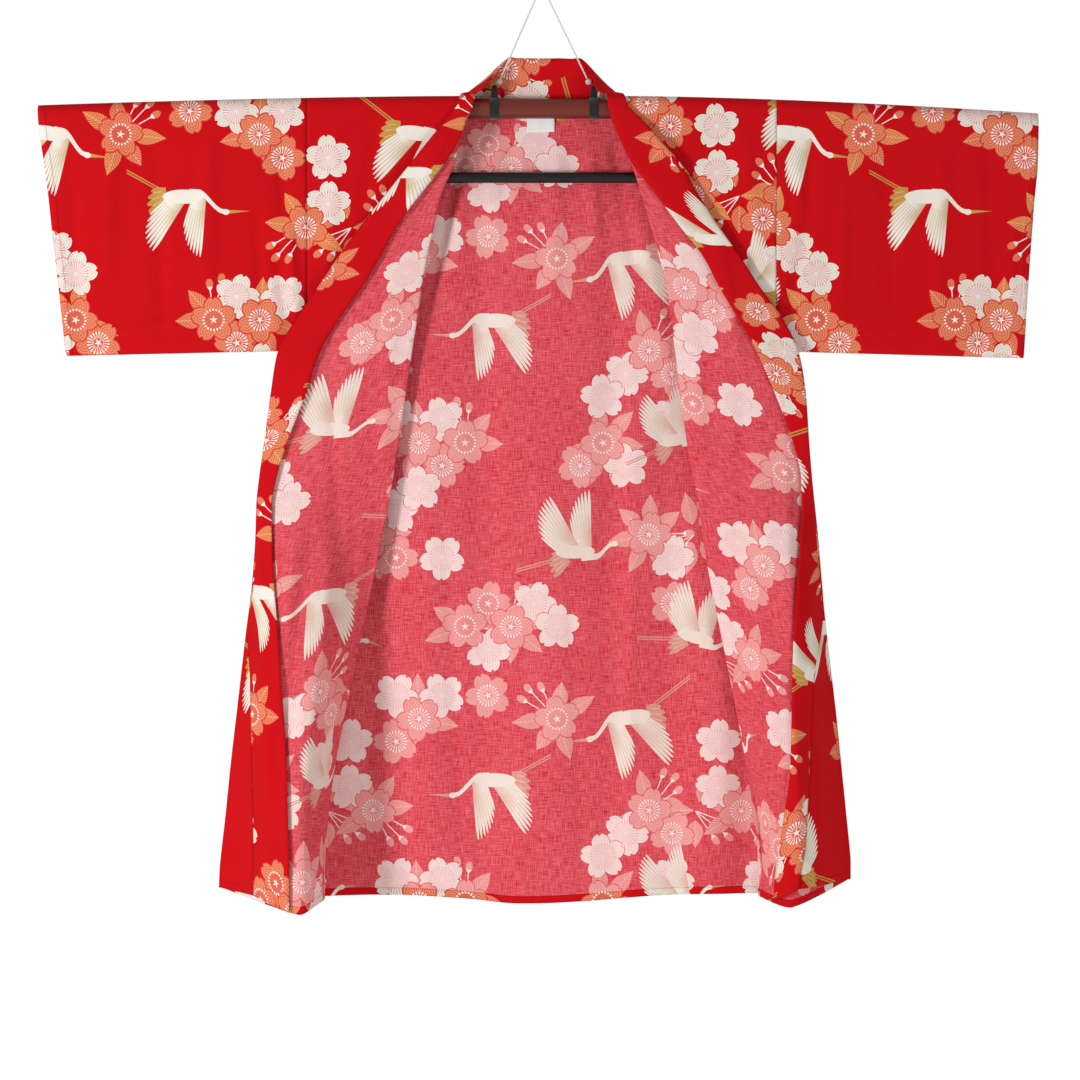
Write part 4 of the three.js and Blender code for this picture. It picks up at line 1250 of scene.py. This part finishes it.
# Collar: one long band of the same cotton, folded double and sewn to both fronts and round the
# back of the neck, where it stands up; both its faces are the printed side.
# Stations round the neck: x, y and z of the band's seam, then of its free edge
NECK = {
    "right": [(96.5, -6, -146, 75, -25, -142), (96.5, -1, -144.8, 67, -17, -132), (97, 4, -145.3, 58, -7, -117),
              (95, 10, -149, 44, 3, -99), (80, 16.5, -158, 32, 7, -98), (56, 19, -168.5, 20, 9, -98),
              (28, 19.5, -178, 9, 10, -98)],
    "left": [(97, -6, -146, 72, -25, -145), (97, -1, -144.8, 68, -17, -133), (97.5, 4, -145.3, 62, -7, -117),
             (95, 10, -149, 52, 3, -100), (81, 16.5, -158, 38, 7, -99), (56, 19, -168.5, 24, 9, -98),
             (28, 19.5, -178, 11, 10, -98)],
}
NECK_MIDDLE = (0, 20, -182, 0, 10, -98)
BAND_ACROSS = 12
BAND_ROWS = 150
BAND_THICK = 2.6
BAND_LIFT = 0.5
SEAM_PUFF = 0.45
EDGE_PUFF = 0.35
BARE_FROM = -790
BARE_RUN = 120
BELOW_ROD = -172
NECK_TURNS = (60, 30)
NECK_CUTS = 7
COLLAR_PRINT = (120, 60)


def band_line(side, level):
    """The band's middle line across, from its seam to its free edge, at one height of a front."""
    row = row_at(side, level)
    flap = front_section(row)[1]
    line = []
    start = mix(row["outer"] + 0.5, row["seam"] - SEAM_GAP / 2, smooth((BARE_FROM - level) / BARE_RUN))
    for out in steps(start, row["free"], BAND_ACROSS):
        depth = flap(max(out, row["fold"])) + layer_step(BAND_STEP, level) + BAND_LIFT
        line.append(Vector(front_at(row, side, out, depth, "band")))
    return line


def neck_lines(sign, table):
    made = []
    for seam_x, seam_y, seam_z, free_x, free_y, free_z in table:
        seam, free = Vector((sign * seam_x, seam_y, seam_z)), Vector((sign * free_x, free_y, free_z))
        made.append([seam.lerp(free, k / BAND_ACROSS) for k in range(BAND_ACROSS + 1)])
    return made


def rounded_stations(stations, cuts):
    """More stations between the given ones, on the smooth curve through them."""
    made = []
    for k in range(1, len(stations) - 2):
        four = stations[k - 1:k + 3]
        for cut in range(cuts):
            t = cut / cuts
            line = []
            for a, b, c, d in zip(*four):
                line.append(0.5 * (2 * b + (c - a) * t + (2 * a - 5 * b + 4 * c - d) * t * t
                                   + (3 * b - a - 3 * c + d) * t ** 3))
            made.append(line)
    made.append(stations[-2])
    return made


over_rod = [ROD_AXIS] + [ROD_AXIS + HANG_RADIUS * math.cos(math.radians(t)) for t in NECK_TURNS]
round_neck = [band_line("right", z) for z in [BELOW_ROD] + over_rod]
round_neck += neck_lines(-1, NECK["right"] + [NECK_MIDDLE]) + neck_lines(1, NECK["left"])[::-1]
round_neck += [band_line("left", z) for z in over_rod[::-1] + [BELOW_ROD]]
stations = [band_line("right", z) for z in steps(BOTTOM["right"], ROD_AXIS, BAND_ROWS)[:-1]]
stations += rounded_stations(round_neck, NECK_CUTS)
stations += [band_line("left", z) for z in steps(ROD_AXIS, BOTTOM["left"], BAND_ROWS)[1:]]

# The print runs along the band; where the band stands up at the neck it follows x instead
middles = [line[BAND_ACROSS // 2] for line in stations]
paces = [0.0] + [(b - a).length for a, b in zip(middles, middles[1:])]
neck_run = sum(pace for pace, middle in zip(paces[1:], middles) if middle.x < -0.001)
run = 0.0
rows = []
for i, line in enumerate(stations):
    run += paces[i]
    before, after = stations[max(0, i - 1)], stations[min(len(stations) - 1, i + 1)]
    width = sum((b - a).length for a, b in zip(line, line[1:]))
    standing = smooth((middles[i].z - ROD_AXIS) / 20)
    outer_face, inner_face = [], []
    for k, point in enumerate(line):
        cross = line[min(BAND_ACROSS, k + 1)] - line[max(0, k - 1)]
        normal = (after[k] - before[k]).cross(cross).normalized()
        puff = mix(SEAM_PUFF, 1, smooth(k / BAND_ACROSS / 0.2)) if k < BAND_ACROSS else EDGE_PUFF
        lift = normal * (BAND_THICK / 2 * puff)
        out = width * k / BAND_ACROSS
        at_neck = mix(neck_run + point.x, run, smooth((abs(point.x) - 46) / 44))
        along = mix(run, at_neck, standing) + COLLAR_PRINT[1]
        outer_face.append((point + lift, (COLLAR_PRINT[0] + out, along), (OFF_EDGE, out)))
        inner_face.append((point - lift, (COLLAR_PRINT[0] + 2 * width - out, along), (OFF_EDGE, out)))
    rows.append(outer_face + inner_face[::-1])
collar = sheet_of("collar_band", rows, 0, (right_side,), around=True)
cap = bmesh.new()
cap.from_mesh(collar.data)
bmesh.ops.holes_fill(cap, edges=[e for e in cap.edges if e.is_boundary])
bmesh.ops.recalc_face_normals(cap, faces=cap.faces)
cap.to_mesh(collar.data)
cap.free()
whole(collar, "collar")

# Neck label: a small blank white woven tape, sewn at the neck seam inside the back.
# It is a little wavy. Sizes in mm.
LABEL_X = (-19.4, 16.9)
LABEL_Z = (-193.4, -170)
LABEL_Y = (17.9, 16.5)
LABEL_STEPS = (18, 12)
LABEL_THICK = 0.5
RIB = 0.0006

label_cloth, tree, skin, (x, y, z) = surface("label_satin", Roughness=0.55)
# Ribs of the weave across the tape: raised in the bump, with painted shade making the hollows between them darker
weft = (z * (2 * math.pi / RIB)).maths("SINE") * 0.5 + 0.5
painted(tree, skin, weft, "E4E2E0", "F8F7F5")
bumped(tree, skin, weft, 0.3, 0.0002)
rows = []
for z in steps(*LABEL_Z[::-1], LABEL_STEPS[1]):
    depth = mix(*LABEL_Y, (z - LABEL_Z[0]) / (LABEL_Z[1] - LABEL_Z[0]))
    line = [(x, depth + 0.2 * math.sin(x * 0.35), z + 0.5 * math.sin(x * 0.11))
            for x in steps(*LABEL_X, LABEL_STEPS[0])]
    rows.append([(point, point[::2], point[::2]) for point in line])
label = sheet_of("neck_tape_label", rows, LABEL_THICK, (label_cloth,))
whole(label, "neck_label")
